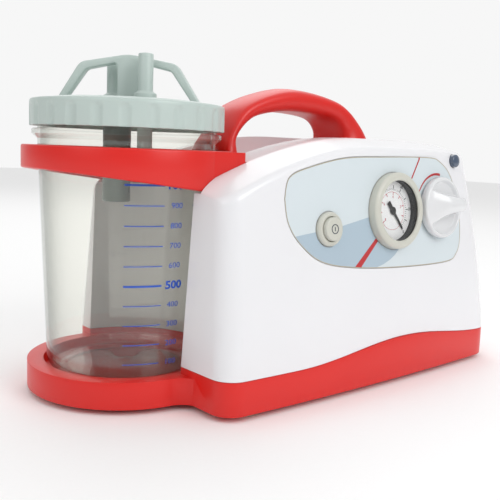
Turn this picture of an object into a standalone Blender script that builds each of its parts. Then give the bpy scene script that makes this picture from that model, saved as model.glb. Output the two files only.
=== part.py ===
"""Portable hospital suction pump: a two-shell housing on a base tray, with a lidded collection jar at its left.

World frame: origin on the floor under the middle of the whole object, +X along its length, +Y to the back, +Z up.
"""

import math

import bmesh
import bpy
from mathutils import Matrix, Vector

GAP = 0.0003  # left between pieces that rest on or against each other
SLIDE_GAP = 0.0004  # left around a piece that turns or slides
OVERRUN = 0.002  # how far a cutter runs past the face that it opens
WELD = 0.00001

# Whole object
LENGTH = 0.353
DEPTH = 0.180
WALL = 0.0025
FRONT_Y = -DEPTH / 2
REAR_Y = DEPTH / 2

# Jar tray and jar ring
RING_R = 0.0665
RING_WALL = 0.008
RING_TOP = 0.157
RING_LOW = 0.132
RING_LOW_FAR = 0.143
RING_CHAMFER = 0.001
TRAY_R = 0.0631
TRAY_TOP = 0.0202
TRAY_BOTTOM = 0.0035
POCKET_FLOOR = 0.0125
POCKET_GAP = 0.002
BASE_FLOOR = 0.0025
JAR_X = -LENGTH / 2 + RING_R
JAR_Y = 0.011
BLOCK_OUT = 0.061  # ring's flat lug, from the jar axis to its face
BLOCK_IN = 0.046
BLOCK_START = 0.018
BLOCK_END = 0.0500

# Housing
WING_OFFSET = 0.011  # housing's left face from the jar axis
HOUSING_LEFT = JAR_X + WING_OFFSET
HOUSING_RIGHT = LENGTH / 2
HOUSING_LENGTH = HOUSING_RIGHT - HOUSING_LEFT
HOUSING_TOP = 0.1695
SEAM_Z = 0.0247
SEAM_RISE = 0.0085
SEAM_MID = 0.159
SEAM_REACH = 0.105
SEAM_PITCH = 0.0092  # along the housing, between two points of the seam's wave
STATION_PITCH = 0.022  # along the housing, between two of its cross-sections
FRONT_LEAN = math.radians(6)
REAR_LEAN = math.radians(4)
SIDE_LEAN = math.radians(2.5)
LEFT_SKEW = 0.011
FACE_BOW = 0.0163
BELLY_Z = 0.027
RIGHT_DRAW = 0.0275
RIGHT_DRAW_POWER = 1.63
SHOULDER_LENGTH = 0.135
SHOULDER_DROP = 0.0345
END_START = 0.185
END_DROP = 0.0058
EDGE_DROP = 0.006
EDGE_R = 0.006
CREST_R = 0.018
FRONT_CREST = 0.026
REAR_CREST = 0.022
LEFT_CORNER_R = 0.013
RIGHT_CORNER_R = 0.020
RECESS_R = 0.0570
RECESS_R_TOP = 0.0615
TROUGH_DEPTH = 0.020
TROUGH_FLOOR = 0.027
TROUGH_MOUTH = 0.040
WAIST_R = 0.014
REAR_WAIST_R = 0.004

# Carrying handle, its places measured from the jar axis and the floor
HANDLE_TOP = 0.204
HANDLE_GRIP_THICK = 0.0165
HANDLE_HALF_WIDTH = 0.020
HANDLE_FOOT_WIDTH = 0.0245
HANDLE_CROWN = 0.134
HANDLE_LEG_INNER = 0.175
HANDLE_LEG_OUTER = 0.208
LID_CLEARANCE = 0.001

# Jar
JAR_WALL = 0.0018
JAR_BOTTOM_R = 0.0413
JAR_LOW_R = 0.0509
JAR_HIGH_R = 0.0555
JAR_CORNER = 0.011
JAR_FOOT_R = 0.0375  # inside of the ring that the jar stands on
JAR_FOOT_RISE = 0.0020
JAR_FLANGE_R = 0.0602
JAR_FLANGE_Z = 0.164
JAR_FLANGE_THICK = 0.003
JAR_NECK_R = 0.0566
JAR_RIM = 0.181

# Lid, gasket, float cage and float
LID_R = 0.0614
LID_LOW = 0.1687
LID_HIGH = 0.1852
LID_CROWN_R = 0.050
LID_CROWN_Z = 0.189
LID_TOP_WALL = 0.0024
LID_RIBS = 24
LID_RIB_DEPTH = 0.0011
GASKET_THICK = 0.0014
ARCH_TURN = math.radians(-40)
ARCH_FOOT = 0.047
ARCH_SHOULDER = 0.031
ARCH_SHOULDER_Z = 0.210
ARCH_TOP = 0.2155
ARCH_WIDTH = 0.009
ARCH_THICK = 0.0045
ARCH_WEB = 0.014
PORT_R = 0.0047
PORT_BORE = 0.003
PORT_FLANGE_R = 0.007
PORT_TOP = 0.215
PORT_ALONG = 0.013
PORT_ACROSS = 0.0135
STUB_LENGTH = 0.030
CAGE_R = 0.009
CAGE_WALL = 0.0012
CAGE_LOW = 0.122
CAGE_ALONG = -0.008
CAGE_ACROSS = 0.002
CAGE_WINDOW = 0.007
FLOAT_R = 0.0068
FLOAT_LENGTH = 0.026
FLOAT_TRAVEL = 0.012

# Control panel, places along the length from the jar axis
LABEL_RECESS = 0.001
LABEL_THICK = 0.0006
BUTTON_X = 0.0950
BUTTON_Z = 0.1105
BUTTON_BEZEL_R = 0.011
BUTTON_BARREL_R = 0.0093
BUTTON_R = 0.0076
GAUGE_X = 0.160
GAUGE_Z = 0.1205
GAUGE_BEZEL_R = 0.0263
GAUGE_CASE_R = 0.0224
GAUGE_DEPTH = 0.024
GAUGE_POCKET = -0.0025  # floor of the case behind the face
NEEDLE_LENGTH = 0.0165
NEEDLE_REST = math.radians(-52)
KNOB_X = 0.2112
KNOB_Z = 0.1215
KNOB_R = 0.0222
KNOB_HEIGHT = 0.0165
KNOB_LOW = 0.001
KNOB_RIM = 0.0065
SPINDLE_R = 0.003
LENS_X = 0.2362
LENS_Z = 0.1560
LENS_R = 0.0048
LENS_DEPTH = 0.006

# Rear connector bay, vents and plate, places along the length from the jar axis
BAY_X = 0.095
BAY_Z = 0.068
BAY_WIDTH = 0.060
BAY_HEIGHT = 0.036
BAY_DEPTH = 0.018
SOCKET_R = 0.0055
SPIGOT_R = 0.0035
SPIGOT_BORE = 0.002
VENT_COUNT = 6
VENT_PITCH = 0.007
VENT_WIDTH = 0.003
VENT_HEIGHT = 0.030
VENT_X = 0.200
VENT_Z = 0.120
PLATE_WIDTH = 0.062
PLATE_HEIGHT = 0.028
PLATE_THICK = 0.0006

# Feet and base screws
FOOT_R = 0.008
FOOT_SINK = 0.0015
SCREW_HEAD_R = 0.0035
SCREW_R = 0.0015
SCREW_LENGTH = 0.014
BOSS_R = 0.0045
BOSS_RISE = 0.020  # top of a screw boss above the seam
BOSS_RIB = 0.002

# Pump unit inside
PUMP_X = 0.125
MOTOR_R = 0.019
MOTOR_LENGTH = 0.052
MOTOR_Z = 0.046
SHAFT_R = 0.0025
CRANK_R = 0.012
CRANK_THICK = 0.004
CRANK_THROW = 0.005
CRANK_PIN_R = 0.002
CRANK_PIN_REACH = 0.0025
CYLINDER_R = 0.016
CYLINDER_BORE = 0.0115
CYLINDER_LENGTH = 0.028
CYLINDER_WALL = 0.0015
PISTON_DROP = 0.014  # from the top of the crank to the cylinder
PISTON_ROD = 0.005
PISTON_HEIGHT = 0.006
BRACKET_THICK = 0.003
BATTERY = (0.060, 0.080, 0.092)


def smooth_curve(points, per_span):
    """Points on a Catmull-Rom curve through the given ones, per_span to each stretch, both ends kept."""
    padded = [points[0], *points, points[-1]]
    found = []
    for i in range(len(points) - 1):
        before, start, end, after = (Vector(point) for point in padded[i:i + 4])
        for k in range(per_span):
            t = k / per_span
            found.append(0.5 * (2 * start + (end - before) * t
                                + (2 * before - 5 * start + 4 * end - after) * t ** 2
                                + (3 * start - before - 3 * end + after) * t ** 3))
    found.append(Vector(points[-1]))
    return found


def arc(centre, radius, start, end, steps):
    """Points on an arc in a plane, angles in degrees, both ends included."""
    angles = [math.radians(start + (end - start) * i / steps) for i in range(steps + 1)]
    return [(centre[0] + radius * math.cos(a), centre[1] + radius * math.sin(a)) for a in angles]


def rounded(corners, steps=2):
    """An open outline of (a, b, radius) corners with an arc of steps edges at each corner that has a radius."""
    found = []
    for i, (a, b, radius) in enumerate(corners):
        here = Vector((a, b))
        if not radius:
            found.append(here)
            continue
        back = Vector(corners[i - 1][:2]) - here
        on = Vector(corners[i + 1][:2]) - here
        half = back.angle(on) / 2
        reach = min(radius / math.tan(half), 0.45 * back.length, 0.45 * on.length)
        centre = here + (back.normalized() + on.normalized()).normalized() * reach / math.cos(half)
        start = here + back.normalized() * reach - centre
        turn = start.angle_signed(here + on.normalized() * reach - centre)
        for k in range(steps + 1):
            found.append(centre + Matrix.Rotation(-turn * k / steps, 2) @ start)
    return found


def plastic(name, colour, roughness, metallic=0.0, alpha=1.0):
    """A Principled material with one colour, given as linear red, green and blue."""
    material = bpy.data.materials.new(name)
    material.use_nodes = True
    shader = material.node_tree.nodes["Principled BSDF"]
    shader.inputs["Base Color"].default_value = (*colour, 1.0)
    shader.inputs["Roughness"].default_value = roughness
    shader.inputs["Metallic"].default_value = metallic
    shader.inputs["Alpha"].default_value = alpha
    return material


def solid(name, shape, material=None, place=None, parent=None):
    """Turns a bmesh into an object with its faces pointing out, placed by a matrix."""
    bmesh.ops.recalc_face_normals(shape, faces=shape.faces)
    mesh = bpy.data.meshes.new(name)
    shape.to_mesh(mesh)
    shape.free()
    made = bpy.data.objects.new(name, mesh)
    bpy.context.scene.collection.objects.link(made)
    if material:
        mesh.materials.append(material)
    if parent:
        made.parent = parent
    if place:
        made.matrix_basis = place
    return made


def finish(made):
    """Shades the round faces smooth and keeps the hard edges."""
    made.data.shade_smooth()
    made.data.set_sharp_from_angle(angle=math.radians(35))
    return made


def turned(profile, steps=48, shape=None, radius=None):
    """Revolves (r, z) points about Z. A profile that leaves the axis at both ends is a closed ring."""
    shape = shape or bmesh.new()
    rings = []
    for r, z in profile:
        if r < 1e-9:
            rings.append([shape.verts.new((0, 0, z))])
            continue
        ring = []
        for i in range(steps):
            angle = 2 * math.pi * i / steps
            reach = radius(r, z, angle) if radius else r
            ring.append(shape.verts.new((reach * math.cos(angle), reach * math.sin(angle), z)))
        rings.append(ring)
    pairs = list(zip(rings, rings[1:]))
    if len(rings[0]) > 1 or len(rings[-1]) > 1:
        pairs.append((rings[-1], rings[0]))
    for low, high in pairs:
        for i in range(steps):
            j = (i + 1) % steps
            corners = [low[i % len(low)], low[j % len(low)], high[j % len(high)], high[i % len(high)]]
            shape.faces.new(list(dict.fromkeys(corners)))
    return shape


def skin(sections, shape):
    """Adds the walls between closed sections of equal point counts, with no end faces."""
    rings = [[shape.verts.new(point) for point in section] for section in sections]
    count = len(rings[0])
    for low, high in zip(rings, rings[1:]):
        for i in range(count):
            j = (i + 1) % count
            shape.faces.new((low[i], low[j], high[j], high[i]))
    return shape


def loft(sections, shape=None):
    """Joins closed sections of equal point counts, with a flat face on each end."""
    shape = shape or bmesh.new()
    first = len(shape.verts)
    skin(sections, shape)
    shape.verts.ensure_lookup_table()
    count = len(sections[0])
    shape.faces.new(shape.verts[first:first + count])
    shape.faces.new(shape.verts[len(shape.verts) - count:])
    return shape


def prism(outline, low, high, shape=None):
    """Extrudes a closed (x, y) outline from one height to another."""
    return loft([[(x, y, z) for x, y in outline] for z in (low, high)], shape)


def block(low, high, shape=None):
    """A box between two corners."""
    outline = [(low[0], low[1]), (high[0], low[1]), (high[0], high[1]), (low[0], high[1])]
    return prism(outline, low[2], high[2], shape)


def disc(radius, low, high, steps=32, shape=None):
    """A plain cylinder about Z."""
    return turned([(0, low), (radius, low), (radius, high), (0, high)], steps, shape)


def weld(mesh):
    """Merges the points that a Boolean leaves closer than the smallest real edge, and drops the slivers."""
    shape = bmesh.new()
    shape.from_mesh(mesh)
    bmesh.ops.remove_doubles(shape, verts=shape.verts, dist=WELD)
    bmesh.ops.dissolve_degenerate(shape, edges=shape.edges, dist=WELD)
    shape.to_mesh(mesh)
    shape.free()


def combine(target, other, operation):
    """Applies one exact Boolean and removes the second object."""
    modifier = target.modifiers.new(operation, "BOOLEAN")
    modifier.solver = "EXACT"
    modifier.operation = operation
    modifier.object = other
    graph = bpy.context.evaluated_depsgraph_get()
    mesh = bpy.data.meshes.new_from_object(target.evaluated_get(graph))
    weld(mesh)
    target.modifiers.clear()
    target.data = mesh
    bpy.data.objects.remove(other)
    return target


def cut(target, shape, place=None):
    """Removes a shape from an object."""
    return combine(target, solid("cutter", shape, place=place), "DIFFERENCE")


def join(target, shape, place=None):
    """Adds an overlapping shape to an object."""
    return combine(target, solid("addition", shape, place=place), "UNION")


def from_axis(x=0.0, y=0.0, z=0.0):
    """A place measured from the foot of the jar axis."""
    return Matrix.Translation((JAR_X + x, JAR_Y + y, z))


def face_y(x, z):
    """The front face of the housing: it leans back and bows back to the right."""
    along = (x - HOUSING_LEFT) / HOUSING_LENGTH
    return FRONT_Y + math.tan(FRONT_LEAN) * (z - SEAM_Z) + FACE_BOW * along ** 2


def back_y(z):
    """The rear face of the housing, leaning forward."""
    return REAR_Y - math.tan(REAR_LEAN) * (z - SEAM_Z)


def left_x(y, z):
    """The left face of the housing, leaning in and a little further left at the back."""
    return HOUSING_LEFT + math.tan(SIDE_LEAN) * (z - SEAM_Z) - LEFT_SKEW * (y - FRONT_Y) / DEPTH


def right_x(z):
    """The right end of the housing, drawn in towards the top."""
    above = max(z - BELLY_Z, 0.0) / (HOUSING_TOP - BELLY_Z)
    return HOUSING_RIGHT - RIGHT_DRAW * above ** RIGHT_DRAW_POWER


def top_z(x):
    """The crest of the housing: a parabolic shoulder at the left and a slight fall at the right."""
    along = x - HOUSING_LEFT
    shoulder = max(1 - along / SHOULDER_LENGTH, 0.0) ** 2
    end = max(along - END_START, 0.0) / (HOUSING_LENGTH - END_START)
    return HOUSING_TOP - SHOULDER_DROP * shoulder - END_DROP * end ** 2


def seam_z(x):
    """The wave of the seam between the base and the shells."""
    off = min(abs(x - HOUSING_LEFT - SEAM_MID) / SEAM_REACH, 1.0)
    return SEAM_Z + SEAM_RISE * (1 + math.cos(math.pi * off)) / 2


def stations(corner_steps=4):
    """Shares of the housing's length, close together round its vertical corners, with the corner's inset."""
    found = []
    for i in range(corner_steps + 1):
        angle = math.pi / 2 * i / corner_steps
        found.append((LEFT_CORNER_R * (1 - math.cos(angle)), LEFT_CORNER_R * (1 - math.sin(angle))))
    clear = HOUSING_LENGTH - LEFT_CORNER_R - RIGHT_CORNER_R
    middle_steps = math.ceil(clear / STATION_PITCH - 0.1)
    for i in range(1, middle_steps):
        found.append((LEFT_CORNER_R + clear * i / middle_steps, 0.0))
    for i in range(corner_steps + 1):
        angle = math.pi / 2 * i / corner_steps
        found.append((HOUSING_LENGTH - RIGHT_CORNER_R + RIGHT_CORNER_R * math.sin(angle),
                      RIGHT_CORNER_R * (1 - math.cos(angle))))
    return [(distance / HOUSING_LENGTH, inset) for distance, inset in found]


def foot_height(share, y, wall, bottom):
    """How high the housing's foot stands at a share of its length, on its front or its rear face."""
    low_x = left_x(y, SEAM_Z) + wall
    return bottom(low_x + share * (HOUSING_RIGHT - wall - low_x))


def housing_section(share, inset, wall, bottom):
    """A cross-section of the housing, from its front foot over the top to its rear foot."""
    left = HOUSING_LEFT + wall
    front_foot = foot_height(share, FRONT_Y + wall, wall, bottom)
    rear_foot = foot_height(share, REAR_Y - wall, wall, bottom)
    top_x = left + share * (right_x(HOUSING_TOP) - HOUSING_LEFT - 2 * wall)
    crest = top_z(top_x) - wall
    edge = crest - EDGE_DROP
    steps = 4
    front_levels = [front_foot + (edge - front_foot) * i / steps for i in range(steps)]
    rear_levels = [rear_foot + (edge - rear_foot) * i / steps for i in range(steps)]
    bow_x = HOUSING_LEFT + share * HOUSING_LENGTH
    front = [(face_y(bow_x, z) + wall + inset, z, 0.0) for z in front_levels]
    rear = [(back_y(z) - wall - inset, z, 0.0) for z in reversed(rear_levels)]
    front_edge = face_y(bow_x, edge) + wall + inset
    rear_edge = back_y(edge) - wall - inset
    top = [(front_edge, edge, EDGE_R), (front_edge + FRONT_CREST, crest, CREST_R),
           (rear_edge - REAR_CREST, crest, CREST_R), (rear_edge, edge, EDGE_R)]
    points = []
    for y, z in rounded(front + top + rear):
        low_x = left_x(y, z) + wall
        points.append((low_x + share * (right_x(z) - wall - low_x), y, z))
    return points


def housing_block(wall, bottom):
    """The housing as one block, drawn in by a wall all round and standing on the bottom given by a function."""
    sections = [housing_section(share, inset, wall, bottom) for share, inset in stations()]
    shape = skin(sections, bmesh.new())
    shape.verts.ensure_lookup_table()
    count = len(sections[0])
    for start in (0, len(shape.verts) - count):
        ring = shape.verts[start:start + count]
        for i in range(count // 2 - 1):
            shape.faces.new((ring[i], ring[i + 1], ring[count - 2 - i], ring[count - 1 - i]))
    return shape


def plan_outline(wall):
    """The housing's outline at the seam, from the left rear corner round the front to the right rear."""
    front, rear = [], []
    for share, inset in stations():
        bow_x = HOUSING_LEFT + share * HOUSING_LENGTH
        for side, y in ((front, face_y(bow_x, SEAM_Z) + wall + inset),
                        (rear, back_y(SEAM_Z) - wall - inset)):
            low_x = left_x(y, SEAM_Z) + wall
            side.append((low_x + share * (HOUSING_RIGHT - wall - low_x), y))
    return front + rear[::-1]


def recess(grow):
    """The conical bay of the housing that the jar stands in."""
    low, high = TRAY_TOP, HOUSING_TOP + OVERRUN
    return turned([(0, low), (RECESS_R + grow, low), (RECESS_R_TOP + grow, high), (0, high)], 48)


def ring_bore(grow):
    """The step in the recess that the jar ring fits."""
    return disc(RING_R + GAP + grow, RING_LOW - GAP - grow, HOUSING_TOP + OVERRUN, 48)


def lug_notch(grow):
    """The notch that the ring's flat lugs fit."""
    reach = BLOCK_OUT + GAP + grow
    low = RING_LOW - GAP - grow
    return block((-LEFT_SKEW, -reach, low), (BLOCK_END + GAP + grow, reach, HOUSING_TOP + OVERRUN))


def trough(grow):
    """The long hollow in the top that makes room for a hand under the handle."""
    start = HOUSING_LEFT - LEFT_SKEW
    end = JAR_X + HANDLE_LEG_OUTER + 0.006 + grow
    sections = []
    for i in range(9):
        x = start + (end - start) * i / 8
        floor = top_z(x) - TROUGH_DEPTH - grow
        outline = rounded([(JAR_Y - TROUGH_MOUTH - grow, top_z(x) + OVERRUN, 0),
                           (JAR_Y - TROUGH_FLOOR - grow, floor, 0.006),
                           (JAR_Y + TROUGH_FLOOR + grow, floor, 0.006),
                           (JAR_Y + TROUGH_MOUTH + grow, top_z(x) + OVERRUN, 0)], 2)
        sections.append([(x, y, z) for y, z in outline])
    return loft(sections)


def rear_bay(grow):
    """The sunk bay for the two connectors in the rear face."""
    x = JAR_X + BAY_X
    deep = back_y(BAY_Z) - BAY_DEPTH - grow
    return block((x - BAY_WIDTH / 2 - grow, deep, BAY_Z - BAY_HEIGHT / 2 - grow),
                 (x + BAY_WIDTH / 2 + grow, REAR_Y + OVERRUN, BAY_Z + BAY_HEIGHT / 2 + grow))


def opened_block(wall, bottom, grow):
    """The housing block less every bay that is let into it."""
    made = solid("block", housing_block(wall, bottom))
    for hollow, place in ((recess, from_axis()), (ring_bore, from_axis()), (lug_notch, from_axis()),
                          (trough, None), (rear_bay, None)):
        cut(made, hollow(grow), place)
    return made


def face_frame(x, z):
    """A place on the front face: its Z points out of the face and its X to the right. x is from the jar axis."""
    x += JAR_X
    slope = 2 * FACE_BOW * (x - HOUSING_LEFT) / HOUSING_LENGTH ** 2
    out = Vector((slope, -1, math.tan(FRONT_LEAN))).normalized()
    right = Vector((0, 0, 1)).cross(out).normalized()
    up = out.cross(right)
    turn = Matrix((right, up, out)).transposed().to_4x4()
    return Matrix.Translation((x, face_y(x, z), z)) @ turn


def rear_frame(x, z):
    """A place on the rear face: its Z points out of the face. x is from the jar axis."""
    out = Vector((0, 1, math.tan(REAR_LEAN))).normalized()
    right = Vector((-1, 0, 0))
    turn = Matrix((right, out.cross(right), out)).transposed().to_4x4()
    return Matrix.Translation((JAR_X + x, back_y(z), z)) @ turn


def label_outline(grow):
    """The control label's outline on the face, as (x from the jar axis, z)."""
    corners = [(0.058, 0.130), (0.0625, 0.143), (0.080, 0.1495), (0.111, 0.1556), (0.146, 0.1572),
               (0.200, 0.1580), (0.216, 0.1550), (0.230, 0.1440), (0.2400, 0.120), (0.2415, 0.098),
               (0.236, 0.0860), (0.222, 0.0810), (0.166, 0.0812), (0.118, 0.0843), (0.088, 0.0900),
               (0.070, 0.1020), (0.0605, 0.115), (0.058, 0.130)]
    points = smooth_curve(corners, 2)[:-1]
    found = []
    for i, here in enumerate(points):
        along = points[(i + 1) % len(points)] - points[i - 1]
        found.append(here + Vector((-along.y, along.x)).normalized() * grow)
    return found


def face_sheet(outline, outer, inner):
    """A sheet that follows the bowed front face, from a height above it to a depth below it."""
    shape = bmesh.new()
    near = [shape.verts.new((JAR_X + x, outer, z)) for x, z in outline]
    far = [shape.verts.new((JAR_X + x, inner, z)) for x, z in outline]
    count = len(outline)
    for i in range(count):
        j = (i + 1) % count
        shape.faces.new((near[i], near[j], far[j], far[i]))
    shape.faces.new(near)
    shape.faces.new(far)
    for i in range(1, 8):
        x = HOUSING_LEFT + HOUSING_LENGTH * i / 8
        bmesh.ops.bisect_plane(shape, geom=[*shape.verts, *shape.edges, *shape.faces],
                               plane_co=(x, 0, 0), plane_no=(1, 0, 0))
    for vertex in shape.verts:
        vertex.co.y += face_y(vertex.co.x, vertex.co.z)
    return shape


def panel_holes():
    """Each hole in the panel: its frame, radius, and the radius of what lies over it."""
    return [(face_frame(BUTTON_X, BUTTON_Z), BUTTON_BARREL_R + GAP, BUTTON_BEZEL_R),
            (face_frame(GAUGE_X, GAUGE_Z), GAUGE_CASE_R + GAP, GAUGE_BEZEL_R),
            (face_frame(KNOB_X, KNOB_Z), SPINDLE_R + 0.002, SPINDLE_R + 0.002)]


def screw_places():
    """The four base screws, from the jar axis."""
    front = FRONT_Y - JAR_Y + WALL + BOSS_R + 0.006
    rear = REAR_Y - JAR_Y - WALL - BOSS_R - 0.006
    right = HOUSING_RIGHT - JAR_X
    return {"front_left": (0.066, front), "front_right": (right - 0.050, front + FACE_BOW),
            "rear_left": (0.066, rear), "rear_right": (right - 0.050, rear)}


def foot_places():
    """The four feet, from the jar axis."""
    front = FRONT_Y - JAR_Y + FOOT_R + 0.006
    rear = REAR_Y - JAR_Y - FOOT_R - 0.008
    right = HOUSING_RIGHT - JAR_X - 0.030
    return {"front_left": (0.036, front), "front_right": (right, front + FACE_BOW),
            "rear_left": (0.026, rear), "rear_right": (right, rear)}


def waist_outline():
    """The jar tray's outline with its concave waists into the housing's base."""
    points = []
    for side, waist in ((-1, WAIST_R), (1, REAR_WAIST_R)):
        face_x = left_x(side * DEPTH / 2, SEAM_Z) - JAR_X
        centre_x = face_x - waist
        centre_y = side * math.sqrt((TRAY_R + waist) ** 2 - centre_x ** 2)
        tangent = math.degrees(math.atan2(-centre_y, -centre_x))
        bend = arc((centre_x, centre_y), waist, 0, tangent - (360 if side > 0 and tangent > 0 else 0), 6)
        inside = [(face_x + WAIST_R, centre_y)]
        points.append(inside + bend)
    front, rear = points
    start = math.degrees(math.atan2(front[-1][1], front[-1][0])) % 360
    end = math.degrees(math.atan2(rear[-1][1], rear[-1][0])) % 360
    round_side = arc((0, 0), TRAY_R, start, end, 32)
    return front[:-1] + round_side + rear[:-1][::-1]


def make_base_tray(material):
    """Base and jar tray, one moulding: hollow under the housing, with the jar's pocket at the left."""
    made = solid("base_tray", prism(plan_outline(0.0), TRAY_BOTTOM, HOUSING_TOP / 2), material)
    start = HOUSING_LEFT - LEFT_SKEW - OVERRUN
    reach = HOUSING_RIGHT + OVERRUN - start
    steps = math.ceil(reach / SEAM_PITCH - 0.6)
    sections = []
    for i in range(steps + 1):
        x = start + reach * i / steps
        seam = seam_z(x) - GAP
        sections.append([(x, FRONT_Y - OVERRUN, seam), (x, REAR_Y + OVERRUN, seam),
                         (x, REAR_Y + OVERRUN, HOUSING_TOP), (x, FRONT_Y - OVERRUN, HOUSING_TOP)])
    cut(made, loft(sections))
    join(made, prism(waist_outline(), TRAY_BOTTOM, TRAY_TOP), from_axis())
    well = solid("well", prism(plan_outline(WALL), TRAY_BOTTOM + BASE_FLOOR, HOUSING_TOP))
    cut(well, disc(RECESS_R + WALL, 0, 2 * HOUSING_TOP, 48), from_axis())
    combine(made, well, "DIFFERENCE")
    cut(made, disc(RECESS_R, TRAY_TOP, HOUSING_TOP, 48), from_axis())
    cut(made, disc(JAR_LOW_R + POCKET_GAP, POCKET_FLOOR, HOUSING_TOP, 48), from_axis())
    cut(made, disc(RECESS_R - WALL, 0, POCKET_FLOOR - BASE_FLOOR, 48), from_axis())
    for x, y in foot_places().values():
        cut(made, disc(FOOT_R + 2 * GAP, 0, TRAY_BOTTOM + FOOT_SINK, 16), from_axis(x, y))
    for x, y in screw_places().values():
        cut(made, disc(SCREW_R + GAP, 0, HOUSING_TOP / 2, 12), from_axis(x, y))
    return finish(made)


def make_feet(material):
    """Four rubber feet pressed into the base."""
    for name, (x, y) in foot_places().items():
        top = TRAY_BOTTOM + FOOT_SINK - GAP
        profile = [(0, 0), (FOOT_R - 0.001, 0), (FOOT_R, 0.001), (FOOT_R, top), (0, top)]
        finish(solid("foot_" + name, turned(profile, 16), material, from_axis(x, y)))


def add_boss(made, x, y, side):
    """Adds one screw boss with its web to a shell's wall, side -1 for the front, and bores the pilot hole."""
    low = TRAY_BOTTOM + BASE_FLOOR + GAP
    high = SEAM_Z + BOSS_RISE
    wall_y = (face_y(JAR_X + x, high) if side < 0 else back_y(high)) - JAR_Y - side * WALL / 2
    near, far = sorted((y, wall_y))
    rib = block((x - BOSS_RIB / 2, near, SEAM_Z + SEAM_RISE + OVERRUN),
                (x + BOSS_RIB / 2, far, high - 0.001))
    join(made, disc(BOSS_R, low, high, 12), from_axis(x, y))
    join(made, rib, from_axis())
    cut(made, disc(SCREW_R + GAP, 0, TRAY_BOTTOM + BASE_FLOOR + SCREW_LENGTH, 12), from_axis(x, y))


def make_shells(material):
    """The front and rear shells, split on the handle's plane."""
    whole = opened_block(0.0, seam_z, 0.0)
    hollow = opened_block(WALL, lambda x: TRAY_BOTTOM, WALL)
    combine(whole, hollow, "DIFFERENCE")
    shells = []
    for name, low, high in (("front_shell", FRONT_Y * 2, JAR_Y - GAP / 2),
                            ("rear_shell", JAR_Y + GAP / 2, REAR_Y * 2)):
        half = solid(name, block((-LENGTH, low, 0), (LENGTH, high, 2 * HOUSING_TOP)), material)
        copy = whole.copy()
        copy.data = whole.data.copy()
        bpy.context.scene.collection.objects.link(copy)
        combine(copy, half, "INTERSECT")
        copy.name = name
        copy.data.materials.clear()
        copy.data.materials.append(material)
        shells.append(copy)
    bpy.data.objects.remove(whole)
    front, rear = shells
    cut(front, face_sheet(label_outline(GAP), -WALL, LABEL_RECESS))
    for frame, radius, _ in panel_holes():
        cut(front, disc(radius, -2 * WALL, 2 * WALL, 32), frame)
    cut(front, disc(LENS_R + GAP, -LENS_DEPTH - OVERRUN, 2 * WALL, 20), face_frame(LENS_X, LENS_Z))
    for i in range(VENT_COUNT):
        x = VENT_X + VENT_PITCH * (i - (VENT_COUNT - 1) / 2)
        slot = block((-VENT_WIDTH / 2, -VENT_HEIGHT / 2, -2 * WALL),
                     (VENT_WIDTH / 2, VENT_HEIGHT / 2, 2 * WALL))
        cut(rear, slot, rear_frame(x, VENT_Z))
    bay_back = Matrix.Translation((JAR_X + BAY_X, back_y(BAY_Z) - BAY_DEPTH, BAY_Z))
    for side, radius in ((-1, SOCKET_R + 0.002), (1, SPIGOT_R)):
        hole = disc(radius + GAP, -2 * WALL, 2 * WALL, 20)
        cut(rear, hole, bay_back @ Matrix.Translation((side * BAY_WIDTH / 4, 0,
                                                       0)) @ Matrix.Rotation(-math.pi / 2, 4, "X"))
    for name, (x, y) in screw_places().items():
        if name.startswith("front"):
            add_boss(front, x, y, -1)
        else:
            add_boss(rear, x, y, 1)
    for made in shells:
        finish(made)


def make_screws(material):
    """Four screws up through the base into the shells' bosses."""
    for name, (x, y) in screw_places().items():
        head_top = TRAY_BOTTOM - GAP
        head_low = head_top - 0.002
        tip = TRAY_BOTTOM + BASE_FLOOR + SCREW_LENGTH - 0.001
        profile = [(0, head_low), (SCREW_HEAD_R - 0.0006, head_low), (SCREW_HEAD_R, head_low + 0.0006),
                   (SCREW_HEAD_R, head_top), (SCREW_R, head_top), (SCREW_R, tip - 0.001), (0, tip)]
        finish(solid("screw_" + name, turned(profile, 12), material, from_axis(x, y)))


def make_jar_ring(material):
    """The ring that steadies the jar, with a slanting lower edge and a flat lug to each side of the housing."""
    inner = RING_R - RING_WALL
    steps = 48
    sections = []
    for i in range(steps):
        angle = 2 * math.pi * i / steps
        reach = min((math.cos(angle) + 1) / 1.35, 1.0)
        low = RING_LOW_FAR + (RING_LOW - RING_LOW_FAR) * reach
        corners = [(inner, low), (RING_R - RING_CHAMFER, low), (RING_R, low + RING_CHAMFER),
                   (RING_R, RING_TOP - RING_CHAMFER), (RING_R - RING_CHAMFER, RING_TOP), (inner, RING_TOP)]
        sections.append([(r * math.cos(angle), r * math.sin(angle), z) for r, z in corners])
    shape = bmesh.new()
    rings = [[shape.verts.new(point) for point in section] for section in sections]
    for i, ring in enumerate(rings):
        following = rings[(i + 1) % steps]
        for k in range(6):
            m = (k + 1) % 6
            shape.faces.new((ring[k], ring[m], following[m], following[k]))
    made = solid("jar_ring", shape, material, from_axis())
    for side in (-1, 1):
        near, far = sorted((side * BLOCK_IN, side * BLOCK_OUT))
        lug = solid("lug", block((BLOCK_START, near, RING_LOW + RING_CHAMFER / 2),
                                 (BLOCK_END, far, RING_TOP - RING_CHAMFER / 2)), place=from_axis())
        cut(lug, disc(inner + 0.001, 0, HOUSING_TOP, 48), from_axis())
        combine(made, lug, "UNION")
    return finish(made)


def smooth_stops(stops, per_span):
    """Catmull-Rom between lists of five numbers, both ends kept."""
    padded = [stops[0], *stops, stops[-1]]
    found = []
    for i in range(len(stops) - 1):
        for k in range(per_span):
            t = k / per_span
            found.append([0.5 * (2 * b + (c - a) * t + (2 * a - 5 * b + 4 * c - d) * t ** 2
                                 + (3 * b - a - 3 * c + d) * t ** 3)
                          for a, b, c, d in zip(*padded[i:i + 4])])
    found.append(list(stops[-1]))
    return found


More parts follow.
